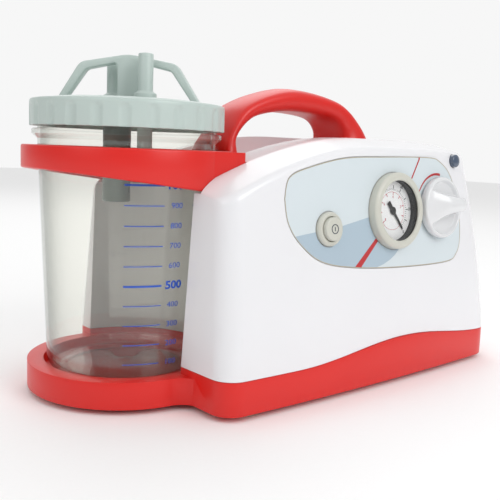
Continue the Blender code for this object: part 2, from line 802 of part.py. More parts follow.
def make_carry_handle(material):
    """The arched handle: a crowned strap, its left foot on the ring and its right leg in the trough."""
    floor_left = top_z(JAR_X + 0.0785) - TROUGH_DEPTH + 2 * GAP
    floor_right = top_z(JAR_X + HANDLE_LEG_INNER) - TROUGH_DEPTH + 0.001
    seat = RING_TOP + GAP
    grip = HANDLE_TOP - HANDLE_GRIP_THICK
    outer = [(0.058, floor_left), (0.060, seat), (0.066, 0.169), (0.0795, 0.1885),
             (0.108, HANDLE_TOP - 0.003),
             (HANDLE_CROWN, HANDLE_TOP), (0.172, HANDLE_TOP - 0.0065), (0.195, 0.181),
             (HANDLE_LEG_OUTER - 0.002, 0.163),
             (HANDLE_LEG_OUTER, floor_right)]
    inner = [(0.0775, floor_left), (0.0725, seat), (0.0745, 0.168), (0.0875, 0.1805),
             (0.110, grip - 0.0012),
             (HANDLE_CROWN, grip), (0.162, grip - 0.003), (HANDLE_LEG_INNER - 0.001, 0.175),
             (HANDLE_LEG_INNER + 0.0005, 0.160),
             (HANDLE_LEG_INNER + 0.001, floor_right)]
    widths = [HANDLE_FOOT_WIDTH, HANDLE_FOOT_WIDTH - 0.001, HANDLE_HALF_WIDTH, HANDLE_HALF_WIDTH,
              HANDLE_HALF_WIDTH,
              HANDLE_HALF_WIDTH, HANDLE_HALF_WIDTH, HANDLE_HALF_WIDTH + 0.001, HANDLE_FOOT_WIDTH,
              HANDLE_FOOT_WIDTH]
    stops = [(a[0], a[1], b[0], b[1], w) for a, b, w in zip(outer, inner, widths)]
    sections = []
    for ox, oz, ix, iz, width in smooth_stops(stops, 2):
        out = Vector((ox, oz))
        away = Vector((ix, iz)) - out
        section = []
        for across, deep in ((-1.0, 0.46), (-0.86, 0.22), (-0.5, 0.06), (0.0, 0.0), (0.5, 0.06),
                             (0.86, 0.22), (1.0, 0.46),
                             (0.93, 0.8), (0.78, 0.97), (0.5, 1.0), (-0.5, 1.0), (-0.78, 0.97),
                             (-0.93, 0.8)):
            place = out + away * deep
            section.append((place.x, across * width, place.y))
        sections.append(section)
    made = solid("carry_handle", loft(sections), material, from_axis())
    cut(made, disc(LID_R + LID_CLEARANCE, 0, 2 * HANDLE_TOP, 48), from_axis())
    cut(made, disc(RING_R + 2 * GAP, 0, seat, 48), from_axis())
    return finish(made)


def make_controls(white, grey, dark, clear, smoked, metal, label):
    """Everything on the front panel."""
    sheet = solid("control_label", face_sheet(label_outline(0.0), LABEL_RECESS - GAP - LABEL_THICK,
                                              LABEL_RECESS - GAP), label)
    for frame, _, over in panel_holes():
        cut(sheet, disc(over + 2 * GAP, -2 * WALL, 2 * WALL, 32), frame)
    finish(sheet)
    seat = -LABEL_RECESS + GAP
    make_button(face_frame(BUTTON_X, BUTTON_Z), seat, grey, dark)
    make_gauge(face_frame(GAUGE_X, GAUGE_Z), seat, grey, white, dark, clear)
    make_knob(face_frame(KNOB_X, KNOB_Z), white, metal)
    lens = [(0, -LENS_DEPTH), (LENS_R - 0.0008, -LENS_DEPTH), (LENS_R, 0.0008 - LENS_DEPTH),
            (LENS_R, 0.0004),
            (0.8 * LENS_R, 0.0016), (0, 0.0022)]
    finish(solid("indicator_lens", turned(lens, 24), smoked, face_frame(LENS_X, LENS_Z)))


def make_button(frame, seat, grey, dark):
    """The on and off button: a bezel with a barrel, the button that slides in it, and the switch behind."""
    bore = BUTTON_R + SLIDE_GAP
    barrel_end = -0.014
    bezel = [(bore, barrel_end), (BUTTON_BARREL_R, barrel_end), (BUTTON_BARREL_R, seat),
             (BUTTON_BEZEL_R, seat),
             (BUTTON_BEZEL_R, 0.0012), (BUTTON_BEZEL_R - 0.0012, 0.0028), (bore + 0.0005, 0.0030),
             (bore, 0.0024)]
    finish(solid("button_bezel", turned(bezel, 28), grey, frame))
    cap = [(0, -0.009), (0.003, -0.009), (0.003, -0.004), (BUTTON_R, -0.004), (BUTTON_R, 0.0045),
           (BUTTON_R - 0.0008, 0.0053), (0, 0.0056)]
    finish(solid("power_button", turned(cap, 24), grey, frame))
    switch = block((-0.007, -0.007, -0.030), (0.007, 0.007, barrel_end - GAP))
    finish(solid("power_switch", switch, dark, frame))


def make_gauge(frame, seat, grey, white, dark, clear):
    """The vacuum gauge: case, dial, needle, lens and the bezel that holds them."""
    lip = 0.003
    pocket = GAUGE_POCKET
    case = [(0, -GAUGE_DEPTH), (GAUGE_CASE_R - 0.001, -GAUGE_DEPTH), (GAUGE_CASE_R, -GAUGE_DEPTH + 0.001),
            (GAUGE_CASE_R, lip), (GAUGE_CASE_R - 0.0013, lip), (GAUGE_CASE_R - 0.0013, pocket), (0, pocket)]
    finish(solid("gauge_case", turned(case, 36), dark, frame))
    dial_r = GAUGE_CASE_R - 0.0013 - GAP
    dial = [(0.0012, pocket + GAP), (dial_r, pocket + GAP), (dial_r, pocket + GAP + 0.0006),
            (0.0012, pocket + GAP + 0.0006)]
    finish(solid("gauge_dial", turned(dial, 36), white, frame))
    window = [(0, lip + GAP), (GAUGE_CASE_R, lip + GAP), (GAUGE_CASE_R, lip + GAP + 0.0012),
              (0, lip + GAP + 0.0012)]
    finish(solid("gauge_lens", turned(window, 36), clear, frame))
    inner = GAUGE_CASE_R + GAP
    step = lip + 2 * GAP + 0.0012
    bezel = [(inner, seat), (GAUGE_BEZEL_R, seat), (GAUGE_BEZEL_R, 0.0035),
             (GAUGE_BEZEL_R - 0.0010, 0.0052),
             (GAUGE_BEZEL_R - 0.0024, 0.0062), (inner - 0.0016, 0.0060), (inner - 0.0020, 0.0054),
             (inner - 0.0020, step),
             (inner, step)]
    finish(solid("gauge_bezel", turned(bezel, 36), grey, frame))
    low = pocket + 2 * GAP + 0.0008
    hub = solid("gauge_needle", turned([(0, pocket + GAP + 0.0001), (0.0008, pocket + GAP + 0.0001),
                                        (0.0008, low),
                                        (0.0023, low), (0.0023, low + 0.0010), (0, low + 0.0010)], 20),
                dark, frame)
    pointer = prism([(-0.0065, -0.0010), (-0.0065, 0.0010), (NEEDLE_LENGTH - 0.002, 0.0005),
                     (NEEDLE_LENGTH, 0.0),
                     (NEEDLE_LENGTH - 0.002, -0.0005)], low + 0.0002, low + 0.0007)
    join(hub, pointer, frame @ Matrix.Rotation(NEEDLE_REST, 4, "Z"))
    finish(hub)


def make_knob(frame, white, metal):
    """The vacuum regulator: a round knob with a raised grip bar, its spindle, and the valve behind the panel."""
    low = KNOB_LOW
    rim = KNOB_RIM
    profile = [(0, low), (KNOB_R - 0.0005, low), (KNOB_R, low + 0.0006), (KNOB_R - 0.0006, rim - 0.001),
               (KNOB_R - 0.0016, rim), (0, rim + 0.0005)]
    knob = solid("vacuum_knob", turned(profile, 36), white, frame)
    ends = KNOB_R - 0.0014
    bar = [(-ends, 0.0015, 0.0), (-ends * 0.5, 0.0040, 0.75), (0.0, 0.0048, 1.0), (ends * 0.6, 0.0045, 0.9),
           (ends, 0.0030, 0.6)]
    sections = []
    for along, half, share in smooth_stops(bar, 2):
        top = rim - 0.001 + max(share, 0.05) * (KNOB_HEIGHT - rim)
        outline = rounded([(-half * 1.5, rim - 0.002, 0), (-half, top, 0.0012), (half, top, 0.0012),
                           (half * 1.5, rim - 0.002, 0)], 2)
        sections.append([(along, y, z) for y, z in outline])
    join(knob, loft(sections), frame)
    spindle = disc(SPINDLE_R, -0.018, low + 0.002, 20)
    join(knob, spindle, frame)
    finish(knob)
    bore = SPINDLE_R + SLIDE_GAP
    valve = [(0, -0.0195), (bore, -0.0195), (bore, -0.010), (0.008, -0.010), (0.010, -0.012),
             (0.010, -0.030), (0, -0.030)]
    finish(solid("regulator_valve", turned(valve, 28), metal, frame))


def jar_radius(z):
    """The jar's outside radius on its drawn side."""
    low = POCKET_FLOOR + JAR_CORNER
    return JAR_LOW_R + (JAR_HIGH_R - JAR_LOW_R) * (z - low) / (RING_LOW - low)


def make_jar(material):
    """The collection jar: a drawn cup with a round bottom corner, a flange and a plain neck."""
    floor = POCKET_FLOOR + GAP
    corner = floor + JAR_CORNER
    under = JAR_FLANGE_Z - 0.003
    raised = floor + JAR_FOOT_RISE
    outside = [(0, raised), (JAR_FOOT_R, raised), (JAR_FOOT_R + JAR_FOOT_RISE / 2, floor),
               (JAR_BOTTOM_R, floor)]
    for i in range(1, 3):
        angle = math.pi / 2 * i / 3
        outside.append((JAR_BOTTOM_R + (JAR_LOW_R - JAR_BOTTOM_R) * math.sin(angle),
                        corner - JAR_CORNER * math.cos(angle)))
    outside += [(JAR_LOW_R, corner), (jar_radius(under), under), (JAR_FLANGE_R, JAR_FLANGE_Z),
                (JAR_FLANGE_R, JAR_FLANGE_Z + JAR_FLANGE_THICK),
                (JAR_NECK_R, JAR_FLANGE_Z + JAR_FLANGE_THICK), (JAR_NECK_R, JAR_RIM)]
    neck = JAR_NECK_R - JAR_WALL
    inside = [(neck, JAR_RIM), (jar_radius(under) - JAR_WALL, under)]
    inner_floor = raised + JAR_WALL
    for i in range(3):
        angle = math.pi / 2 * (3 - i) / 3
        inside.append((JAR_BOTTOM_R + (JAR_LOW_R - JAR_WALL - JAR_BOTTOM_R) * math.sin(angle),
                       corner - (corner - inner_floor) * math.cos(angle)))
    inside += [(JAR_BOTTOM_R, inner_floor), (0, inner_floor)]
    finish(solid("suction_jar", turned(outside + inside, 48), material, from_axis()))


def arch_place(along, across):
    """A place on the lid, along and across its arch, as a turn about the jar axis and a shift."""
    return from_axis() @ Matrix.Rotation(ARCH_TURN, 4, "Z") @ Matrix.Translation((along, across, 0))


def make_lid(material):
    """The screw lid: fluted skirt, raised crown, carrying arch and two hose ports, one of them with a stub below."""
    under = JAR_RIM + 2 * GAP + GASKET_THICK
    inner = JAR_NECK_R + SLIDE_GAP
    crown_under = LID_CROWN_Z - LID_TOP_WALL
    profile = [(0, crown_under), (LID_CROWN_R - 0.004, under + 0.001), (LID_CROWN_R - 0.002, under),
               (inner, under), (inner, LID_LOW),
               (LID_R, LID_LOW), (LID_R, LID_HIGH - 0.0025), (LID_R - 0.0022, LID_HIGH),
               (LID_CROWN_R + 0.002, LID_HIGH),
               (LID_CROWN_R, LID_HIGH + 0.0012), (0, LID_CROWN_Z)]

    def fluted(r, z, angle):
        if r < LID_R - 0.0001:
            return r
        return r - LID_RIB_DEPTH * max(0.0, math.cos(LID_RIBS * angle)) ** 4

    made = solid("jar_lid", turned(profile, LID_RIBS * 2, radius=fluted), material, from_axis())
    stand = LID_HIGH - 0.0005
    outer = rounded([(-ARCH_FOOT, stand, 0), (-ARCH_SHOULDER, ARCH_SHOULDER_Z, 0.008), (0, ARCH_TOP, 0.03),
                     (ARCH_SHOULDER, ARCH_SHOULDER_Z, 0.008), (ARCH_FOOT, stand, 0)])
    side = ARCH_FOOT - ARCH_THICK * 1.15
    shoulder = ARCH_SHOULDER - ARCH_THICK * 0.85
    shoulder_z = ARCH_SHOULDER_Z - ARCH_THICK
    web = ARCH_WEB / 2
    web_z = ARCH_TOP - ARCH_THICK - 0.001
    inner_line = [(side, stand), (shoulder, shoulder_z), (web, web_z), (web, stand), (-web, stand),
                  (-web, web_z), (-shoulder, shoulder_z),
                  (-side, stand)]
    outline = [(point[0], point[1]) for point in outer] + inner_line
    strap = prism(outline, -ARCH_WIDTH / 2, ARCH_WIDTH / 2)
    join(made, strap, arch_place(0, 0) @ Matrix.Rotation(math.pi / 2, 4, "X"))
    port = [(0, stand), (PORT_FLANGE_R, stand), (PORT_FLANGE_R, LID_CROWN_Z + 0.0015),
            (PORT_R, LID_CROWN_Z + 0.003),
            (PORT_R, PORT_TOP - 0.0005), (PORT_R - 0.0005, PORT_TOP), (0, PORT_TOP)]
    for side_of in (1, -1):
        join(made, turned(port, 24), arch_place(side_of * PORT_ALONG, -side_of * PORT_ACROSS))
    join(made, disc(PORT_R, under - STUB_LENGTH, stand + 0.001, 24), arch_place(PORT_ALONG, -PORT_ACROSS))
    for side_of in (1, -1):
        cut(made, disc(PORT_BORE, 0, 2 * PORT_TOP, 16), arch_place(side_of * PORT_ALONG,
                                                                   -side_of * PORT_ACROSS))
    return finish(made)


def make_lid_fittings(rubber, cage_material, float_material):
    """The gasket under the lid, and the float cage with its float."""
    low = JAR_RIM + GAP
    inner = JAR_NECK_R - JAR_WALL
    gasket = [(inner, low), (JAR_NECK_R, low), (JAR_NECK_R, low + GASKET_THICK),
              (inner, low + GASKET_THICK)]
    finish(solid("lid_gasket", turned(gasket, 48), rubber, from_axis()))
    place = arch_place(CAGE_ALONG, CAGE_ACROSS)
    top = JAR_RIM + GASKET_THICK
    bore = CAGE_R - CAGE_WALL
    lip = CAGE_LOW + 0.002
    roof = lip + FLOAT_LENGTH + FLOAT_TRAVEL + 0.004
    cage = [(bore - 0.003, CAGE_LOW), (CAGE_R, CAGE_LOW), (CAGE_R, top), (0.002, top), (0.002, roof),
            (bore, roof), (bore, lip), (bore - 0.003, lip)]
    made = solid("float_cage", turned(cage, 32), cage_material, place)
    window = block((-2 * CAGE_R, -CAGE_WINDOW / 2, lip + 0.004),
                   (2 * CAGE_R, CAGE_WINDOW / 2, roof - 0.006))
    cut(made, window, place)
    finish(made)
    start = lip + GAP
    ball = [(0, start), (FLOAT_R - 0.001, start), (FLOAT_R, start + 0.001),
            (FLOAT_R, start + FLOAT_LENGTH - 0.004),
            (0.003, start + FLOAT_LENGTH), (0, start + FLOAT_LENGTH)]
    finish(solid("float", turned(ball, 28), float_material, place))


def make_rear_fittings(dark, metal, plate):
    """The power inlet and the hose spigot in the rear bay, and the blank rating plate."""
    bay_back = Matrix.Translation((JAR_X + BAY_X, back_y(BAY_Z) - BAY_DEPTH, BAY_Z))
    outward = Matrix.Rotation(-math.pi / 2, 4, "X")
    socket = [(0.0028, -0.006), (SOCKET_R + 0.002, -0.006), (SOCKET_R + 0.002, GAP),
              (SOCKET_R + 0.0045, GAP), (SOCKET_R + 0.0045, 0.003),
              (0.0028, 0.003)]
    inlet = solid("power_inlet", turned(socket, 28), dark, bay_back @ Matrix.Translation((-BAY_WIDTH / 4, 0,
                                                                                          0)) @ outward)
    join(inlet, disc(SOCKET_R + 0.002, -0.012, -0.005, 28), inlet.matrix_basis)
    finish(inlet)
    spigot = [(SPIGOT_BORE, -0.014), (SPIGOT_R, -0.014), (SPIGOT_R, GAP), (SPIGOT_R + 0.003, GAP),
              (SPIGOT_R + 0.003, 0.002),
              (SPIGOT_R, 0.002), (SPIGOT_R, 0.006), (SPIGOT_R + 0.0008, 0.006), (SPIGOT_R - 0.0004, 0.0105),
              (SPIGOT_R + 0.0008, 0.0105),
              (SPIGOT_R - 0.0006, 0.015), (SPIGOT_BORE, 0.015)]
    finish(solid("vacuum_spigot", turned(spigot, 16), metal, bay_back @ Matrix.Translation((BAY_WIDTH / 4,
                                                                                            0, 0)) @ outward))
    shape = block((-PLATE_WIDTH / 2, -PLATE_HEIGHT / 2, GAP), (PLATE_WIDTH / 2, PLATE_HEIGHT / 2,
                                                               GAP + PLATE_THICK))
    finish(solid("rating_plate", shape, plate, rear_frame(BAY_X,
                                                          BAY_Z + BAY_HEIGHT / 2 + PLATE_HEIGHT / 2
                                                          + 0.012)))


def make_pump(metal, dark, rubber, aluminium):
    """The motor, crank, piston pump and its bracket, standing on four rubber mounts."""
    mount_low = TRAY_BOTTOM + BASE_FLOOR + GAP
    mount_high = mount_low + 0.008
    plate_low = mount_high + GAP
    plate_high = plate_low + BRACKET_THICK
    back = MOTOR_LENGTH / 2
    axle = from_axis(PUMP_X, 0, MOTOR_Z) @ Matrix.Rotation(math.pi / 2, 4, "X")
    for name, x, y in (("fl", -1, -1), ("fr", 1, -1), ("rl", -1, 1), ("rr", 1, 1)):
        place = from_axis(PUMP_X + x * 0.018, y * 0.022, 0)
        finish(solid("rubber_mount_" + name, turned([(0, mount_low), (0.005, mount_low),
                                                     (0.0038, (mount_low + mount_high) / 2),
                                                     (0.005, mount_high), (0, mount_high)], 16), rubber,
                     place))
    cylinder_low = MOTOR_Z + CRANK_R + PISTON_DROP
    head_low = cylinder_low + CYLINDER_LENGTH
    wall_y = -back - BRACKET_THICK / 2 - GAP
    bracket = solid("pump_bracket", block((-0.024, wall_y - BRACKET_THICK / 2, plate_low),
                                          (0.024, back, plate_high)), metal,
                    from_axis(PUMP_X, 0, 0))
    crank_low = back + BRACKET_THICK + 3 * GAP
    crank_high = crank_low + CRANK_THICK
    rod_y = -(crank_high + CRANK_PIN_REACH + GAP)
    bore_y = rod_y - PISTON_ROD / 2
    shelf = cylinder_low - GAP
    join(bracket, block((-0.024, wall_y - BRACKET_THICK / 2, plate_low),
                        (0.024, wall_y + BRACKET_THICK / 2, shelf)),
         from_axis(PUMP_X, 0, 0))
    join(bracket, block((-0.024, bore_y - CYLINDER_R, shelf - BRACKET_THICK), (0.024, wall_y, shelf)),
         from_axis(PUMP_X, 0, 0))
    cut(bracket, disc(CYLINDER_BORE - 0.001, shelf - 2 * BRACKET_THICK, 2 * shelf, 24),
        from_axis(PUMP_X, bore_y, 0))
    cut(bracket, disc(SHAFT_R + 0.004, -2 * back, 2 * back, 24), axle)
    finish(bracket)
    motor = [(0, -back), (MOTOR_R - 0.001, -back), (MOTOR_R, -back + 0.001), (MOTOR_R, back - 0.001),
             (MOTOR_R - 0.001, back),
             (SHAFT_R + SLIDE_GAP, back), (SHAFT_R + SLIDE_GAP, 0.0), (0, 0.0)]
    finish(solid("motor", turned(motor, 24), metal, axle))
    crank = solid("crank", turned([(0, 0.001), (SHAFT_R, 0.001), (SHAFT_R, crank_low), (CRANK_R, crank_low),
                                   (CRANK_R, crank_high),
                                   (0, crank_high)], 24), dark, axle)
    pin = disc(CRANK_PIN_R, crank_high - 0.001, crank_high + CRANK_PIN_REACH, 16)
    join(crank, pin, axle @ Matrix.Translation((0, -CRANK_THROW, 0)))
    finish(crank)
    make_piston(rod_y, cylinder_low + CYLINDER_LENGTH / 2 - CRANK_THROW, dark)
    place = from_axis(PUMP_X, bore_y, 0)
    tube = [(CYLINDER_BORE, cylinder_low), (CYLINDER_BORE + CYLINDER_WALL, cylinder_low),
            (CYLINDER_BORE + CYLINDER_WALL, head_low - GAP), (CYLINDER_BORE, head_low - GAP)]
    finish(solid("pump_cylinder", turned(tube, 24), aluminium, place))
    head = [(0, head_low), (CYLINDER_R, head_low), (CYLINDER_R, head_low + 0.008), (0, head_low + 0.008)]
    finish(solid("cylinder_head", turned(head, 24), aluminium, place))


def make_piston(rod_y, middle, dark):
    """The piston with its rod, one piece at the foot of its stroke, its big end just clear of the crank pin."""
    big_end = MOTOR_Z - CRANK_THROW
    place = from_axis(PUMP_X, rod_y, big_end) @ Matrix.Rotation(math.pi / 2, 4, "X")
    piston = solid("piston", disc(0.006, 0, PISTON_ROD, 24), dark, place)
    inset = 0.0006
    low = middle - PISTON_HEIGHT / 2
    join(piston, block((-0.003, rod_y - PISTON_ROD + inset, big_end + 0.003),
                       (0.003, rod_y - inset, low + 0.002)),
         from_axis(PUMP_X, 0, 0))
    cap = disc(CYLINDER_BORE - SLIDE_GAP, low, low + PISTON_HEIGHT, 24)
    join(piston, cap, from_axis(PUMP_X, rod_y - PISTON_ROD / 2, 0))
    finish(piston)


def make_electrics(dark, board, grey):
    """The battery, the circuit board and the exhaust silencer."""
    floor = TRAY_BOTTOM + BASE_FLOOR + GAP
    right = HOUSING_RIGHT - JAR_X - WALL - 0.014
    width, depth, height = BATTERY
    low_y = -0.020
    shape = block((right - width, low_y, floor), (right, low_y + depth, floor + height))
    finish(solid("battery_pack", shape, dark, from_axis()))
    shape = block((right - width, low_y - 0.010, floor + 0.004), (right, low_y - 0.0084, floor + 0.070))
    finish(solid("circuit_board", shape, board, from_axis()))
    silencer = turned([(0, floor), (0.009, floor), (0.009, floor + 0.030), (0.003, floor + 0.034),
                       (0.003, floor + 0.042), (0, floor + 0.042)], 24)
    finish(solid("exhaust_silencer", silencer, grey, from_axis(PUMP_X - 0.044, 0.050, 0)))


def build():
    for old in list(bpy.data.objects):
        bpy.data.objects.remove(old)
    red = plastic("red ABS", (0.62, 0.018, 0.012), 0.35)
    white = plastic("white ABS", (0.84, 0.84, 0.85), 0.3)
    cream = plastic("cream ABS", (0.60, 0.58, 0.50), 0.35)
    lid_grey = plastic("pale grey-green PP", (0.55, 0.62, 0.59), 0.4)
    clear = plastic("clear polycarbonate", (0.85, 0.88, 0.88), 0.05, alpha=0.3)
    smoky = plastic("smoky translucent PP", (0.25, 0.29, 0.27), 0.3, alpha=0.8)
    dark = plastic("black moulding", (0.02, 0.02, 0.02), 0.5)
    rubber = plastic("beige rubber", (0.55, 0.48, 0.36), 0.8)
    lens = plastic("smoked lens", (0.03, 0.05, 0.08), 0.1)
    label = plastic("pale blue film", (0.62, 0.70, 0.75), 0.4)
    steel = plastic("zinc plated steel", (0.55, 0.55, 0.56), 0.4, 1.0)
    aluminium = plastic("cast aluminium", (0.7, 0.7, 0.72), 0.45, 1.0)
    brass = plastic("brass", (0.7, 0.5, 0.2), 0.35, 1.0)
    board = plastic("green circuit board", (0.02, 0.16, 0.06), 0.5)
    make_base_tray(red)
    make_feet(rubber)
    make_shells(white)
    make_screws(steel)
    make_jar_ring(red)
    make_carry_handle(red)
    make_controls(white, cream, dark, clear, lens, brass, label)
    make_jar(clear)
    make_lid(lid_grey)
    make_lid_fittings(rubber, smoky, white)
    make_rear_fittings(dark, steel, aluminium)
    make_pump(steel, dark, rubber, aluminium)
    make_electrics(dark, board, white)


build()
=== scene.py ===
import math

import bmesh
import bpy
from mathutils import Matrix, Vector


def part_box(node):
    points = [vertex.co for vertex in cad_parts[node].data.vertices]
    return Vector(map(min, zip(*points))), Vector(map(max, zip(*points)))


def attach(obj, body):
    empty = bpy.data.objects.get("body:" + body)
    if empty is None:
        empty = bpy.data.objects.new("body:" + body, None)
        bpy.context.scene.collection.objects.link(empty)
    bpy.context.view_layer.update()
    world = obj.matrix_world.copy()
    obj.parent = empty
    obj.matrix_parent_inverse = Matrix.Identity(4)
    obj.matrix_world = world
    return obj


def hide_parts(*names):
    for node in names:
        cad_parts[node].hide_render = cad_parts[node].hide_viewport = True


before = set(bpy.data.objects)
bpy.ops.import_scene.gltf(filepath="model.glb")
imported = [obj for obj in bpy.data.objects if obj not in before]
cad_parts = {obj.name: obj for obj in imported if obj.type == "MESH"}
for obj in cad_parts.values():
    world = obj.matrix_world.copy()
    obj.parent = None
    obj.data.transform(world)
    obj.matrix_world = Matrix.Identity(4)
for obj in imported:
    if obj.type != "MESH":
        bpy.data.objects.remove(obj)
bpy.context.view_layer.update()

# ---- Camera
# A standing person's view from the front left, a little above the machine, with the camera tipped slightly to one
# side.
CAMERA_PLACE = Vector((-0.3375, -0.4177, 0.1582))
CAMERA_TURN = math.radians(-37.548)
CAMERA_PITCH = math.radians(7.719)
CAMERA_ROLL = math.radians(2.158)
CAMERA_LENS_MM = 52.92
SENSOR_MM = 36.0

ahead = Vector((-math.sin(CAMERA_TURN) * math.cos(CAMERA_PITCH), math.cos(CAMERA_TURN) * math.cos(CAMERA_PITCH),
                -math.sin(CAMERA_PITCH)))
level = ahead.cross(Vector((0, 0, 1))).normalized()
upright = level.cross(ahead)
across = math.cos(CAMERA_ROLL) * level + math.sin(CAMERA_ROLL) * upright
above = math.cos(CAMERA_ROLL) * upright - math.sin(CAMERA_ROLL) * level
lens = bpy.data.cameras.new("studio_camera")
lens.lens = CAMERA_LENS_MM
lens.sensor_width = SENSOR_MM
lens.clip_start = 0.01
camera = bpy.data.objects.new("studio_camera", lens)
camera.matrix_world = Matrix.Translation(CAMERA_PLACE) @ Matrix((across, above, -ahead)).transposed().to_4x4()
bpy.context.scene.collection.objects.link(camera)
bpy.context.scene.camera = camera
bpy.context.scene.view_settings.view_transform = "Standard"


# ---- Studio floor and lights
# A matt white sheet on the floor, a wide soft lamp in front and above, a weaker one at the left, a third behind, and
# a pale room whose far wall and ceiling are brighter than the rest.
def linear(colour):
    """The linear colour of an sRGB hex value."""
    channels = [int(colour[i:i + 2], 16) / 255 for i in (1, 3, 5)]
    return (*[c / 12.92 if c <= 0.04045 else ((c + 0.055) / 1.055) ** 2.4 for c in channels], 1.0)


def add_node(tree, kind, settings=None, links=None):
    """Adds one node. A setting is an attribute or an input's value, and a link is the output that feeds an input."""
    node = tree.nodes.new(kind)
    for name, value in (settings or {}).items():
        if isinstance(name, str) and hasattr(node, name):
            setattr(node, name, value)
        else:
            node.inputs[name].default_value = value
    for name, source in (links or {}).items():
        tree.links.new(source, node.inputs[name])
    return node


def blended(tree, first, second, share):
    """The output of a node that mixes two sRGB hex colours by a share."""
    mix = add_node(tree, "ShaderNodeMix", {"data_type": "RGBA", 6: linear(first), 7: linear(second)}, {0: share})
    return mix.outputs[2]


def object_coordinates(tree):
    """A piece's own coordinates, so that a texture moves with it."""
    return add_node(tree, "ShaderNodeTexCoord").outputs["Object"]


def ranged(tree, value, low, high, **settings):
    """The output of a node that maps a value of 0 to 1 to a range."""
    return add_node(tree, "ShaderNodeMapRange", {3: low, 4: high, **settings}, {0: value}).outputs[0]


def maths(tree, operation, *terms):
    """The output of one Math node. Each term is a number or another node's output."""
    node = add_node(tree, "ShaderNodeMath", {"operation": operation})
    for place, term in enumerate(terms):
        if isinstance(term, (int, float)):
            node.inputs[place].default_value = term
        else:
            tree.links.new(term, node.inputs[place])
    return node.outputs[0]


def new_material(name):
    """An empty material, with its tree and its main shader."""
    material = bpy.data.materials.new(name)
    material.use_nodes = True
    return material, material.node_tree, material.node_tree.nodes["Principled BSDF"]


def to_object(name, shape, material=None, place=None):
    """Turns a bmesh into an object whose place is in its mesh."""
    if place:
        bmesh.ops.transform(shape, matrix=place, verts=shape.verts)
    bmesh.ops.recalc_face_normals(shape, faces=shape.faces)
    mesh = bpy.data.meshes.new(name)
    shape.to_mesh(mesh)
    shape.free()
    made = bpy.data.objects.new(name, mesh)
    bpy.context.scene.collection.objects.link(made)
    if material:
        mesh.materials.append(material)
    return made


FLOOR_HALF = 4.0
ROOM_GLOW, WALL_GLOW, CEILING_GLOW = 0.42, 0.93, 0.42
paper, tree, shader = new_material("matt white studio paper")
fibre = add_node(tree, "ShaderNodeTexNoise", {"Scale": 400.0, "Detail": 4.0}, {"Vector": object_coordinates(tree)})
tree.links.new(blended(tree, "#FAFAFA", "#FDFDFD", fibre.outputs["Fac"]), shader.inputs["Base Color"])
shader.inputs["Roughness"].default_value = 0.9
sheet = bmesh.new()
corners = [sheet.verts.new((x * FLOOR_HALF, y * FLOOR_HALF, 0.0)) for x, y in ((-1, -1), (1, -1), (1, 1), (-1, 1))]
sheet.faces.new(corners)
floor = to_object("studio_floor", sheet, paper)
floor.data.transform(Matrix.Translation((0, 0, -0.0002)))

room = bpy.data.worlds.new("pale room with a lit far wall")
room.use_nodes = True
tree = room.node_tree
heading = add_node(tree, "ShaderNodeTexCoord")
toward_wall = add_node(tree, "ShaderNodeVectorMath", {"operation": "DOT_PRODUCT", 1: (0.61, 0.79, 0.0)},
                       {0: heading.outputs["Generated"]})
lit = add_node(tree, "ShaderNodeMapRange", {"interpolation_type": "SMOOTHSTEP", 1: 0.35, 2: 0.85, 3: ROOM_GLOW,
                                            4: WALL_GLOW},
               {0: toward_wall.outputs["Value"]})
height = add_node(tree, "ShaderNodeSeparateXYZ", links={0: heading.outputs["Generated"]})
ceiling = add_node(tree, "ShaderNodeMapRange", {"interpolation_type": "SMOOTHSTEP", 1: 0.25, 2: 0.80, 3: 0.0,
                                                4: CEILING_GLOW},
                   {0: height.outputs["Z"]})
tree.links.new(maths(tree, "ADD", lit.outputs[0], ceiling.outputs[0]), tree.nodes["Background"].inputs["Strength"])
tree.nodes["Background"].inputs["Color"].default_value = linear("#FFFFFF")
bpy.context.scene.world = room
for name, place, size, watts in (("key_lamp", (0.25, -1.25, 0.85), 0.8, 7.5),
                                 ("side_lamp", (-1.3, -0.35, 0.8), 0.8, 2.5),
                                 ("back_lamp", (0.5, 1.1, 1.3), 1.2, 4.0)):
    lamp = bpy.data.lights.new(name, "AREA")
    lamp.size = size
    lamp.energy = watts
    stand = bpy.data.objects.new(name, lamp)
    aim = Vector((0, 0, 0.10)) - Vector(place)
    stand.matrix_world = Matrix.Translation(place) @ aim.to_track_quat("-Z", "Y").to_matrix().to_4x4()
    bpy.context.scene.collection.objects.link(stand)


# ---- Base and jar tray
# One injection moulding in red ABS. It carries the housing, and its round left end has the pocket that the jar stands
# in. The mould is polished on the outside, so the walls are glossy with a faint flow mark. The sizes here also shape
# the pieces below.
GAP = 0.0003
OVERRUN = 0.002
WALL = 0.0025
JAR_X, JAR_Y = -0.110, 0.011
FRONT_Y, REAR_Y, DEPTH = -0.090, 0.090, 0.180
HOUSING_LEFT, HOUSING_RIGHT, HOUSING_TOP = JAR_X + 0.011, 0.1765, 0.1695
HOUSING_LENGTH = HOUSING_RIGHT - HOUSING_LEFT
SEAM_Z, SEAM_RISE, SEAM_MID, SEAM_REACH = 0.0247, 0.0085, 0.159, 0.105
FRONT_LEAN, REAR_LEAN, SIDE_LEAN = math.radians(6), math.radians(4), math.radians(2.5)
LEFT_SKEW, FACE_BOW = 0.011, 0.0163
LEFT_CORNER_R, RIGHT_CORNER_R = 0.013, 0.020
TRAY_R, TRAY_TOP, TRAY_BOTTOM, POCKET_FLOOR, POCKET_R = 0.0631, 0.0202, 0.0035, 0.0125, 0.0529
RECESS_R = 0.0570
WAIST_R, REAR_WAIST_R = 0.014, 0.004
PLASTIC_IOR = 1.53


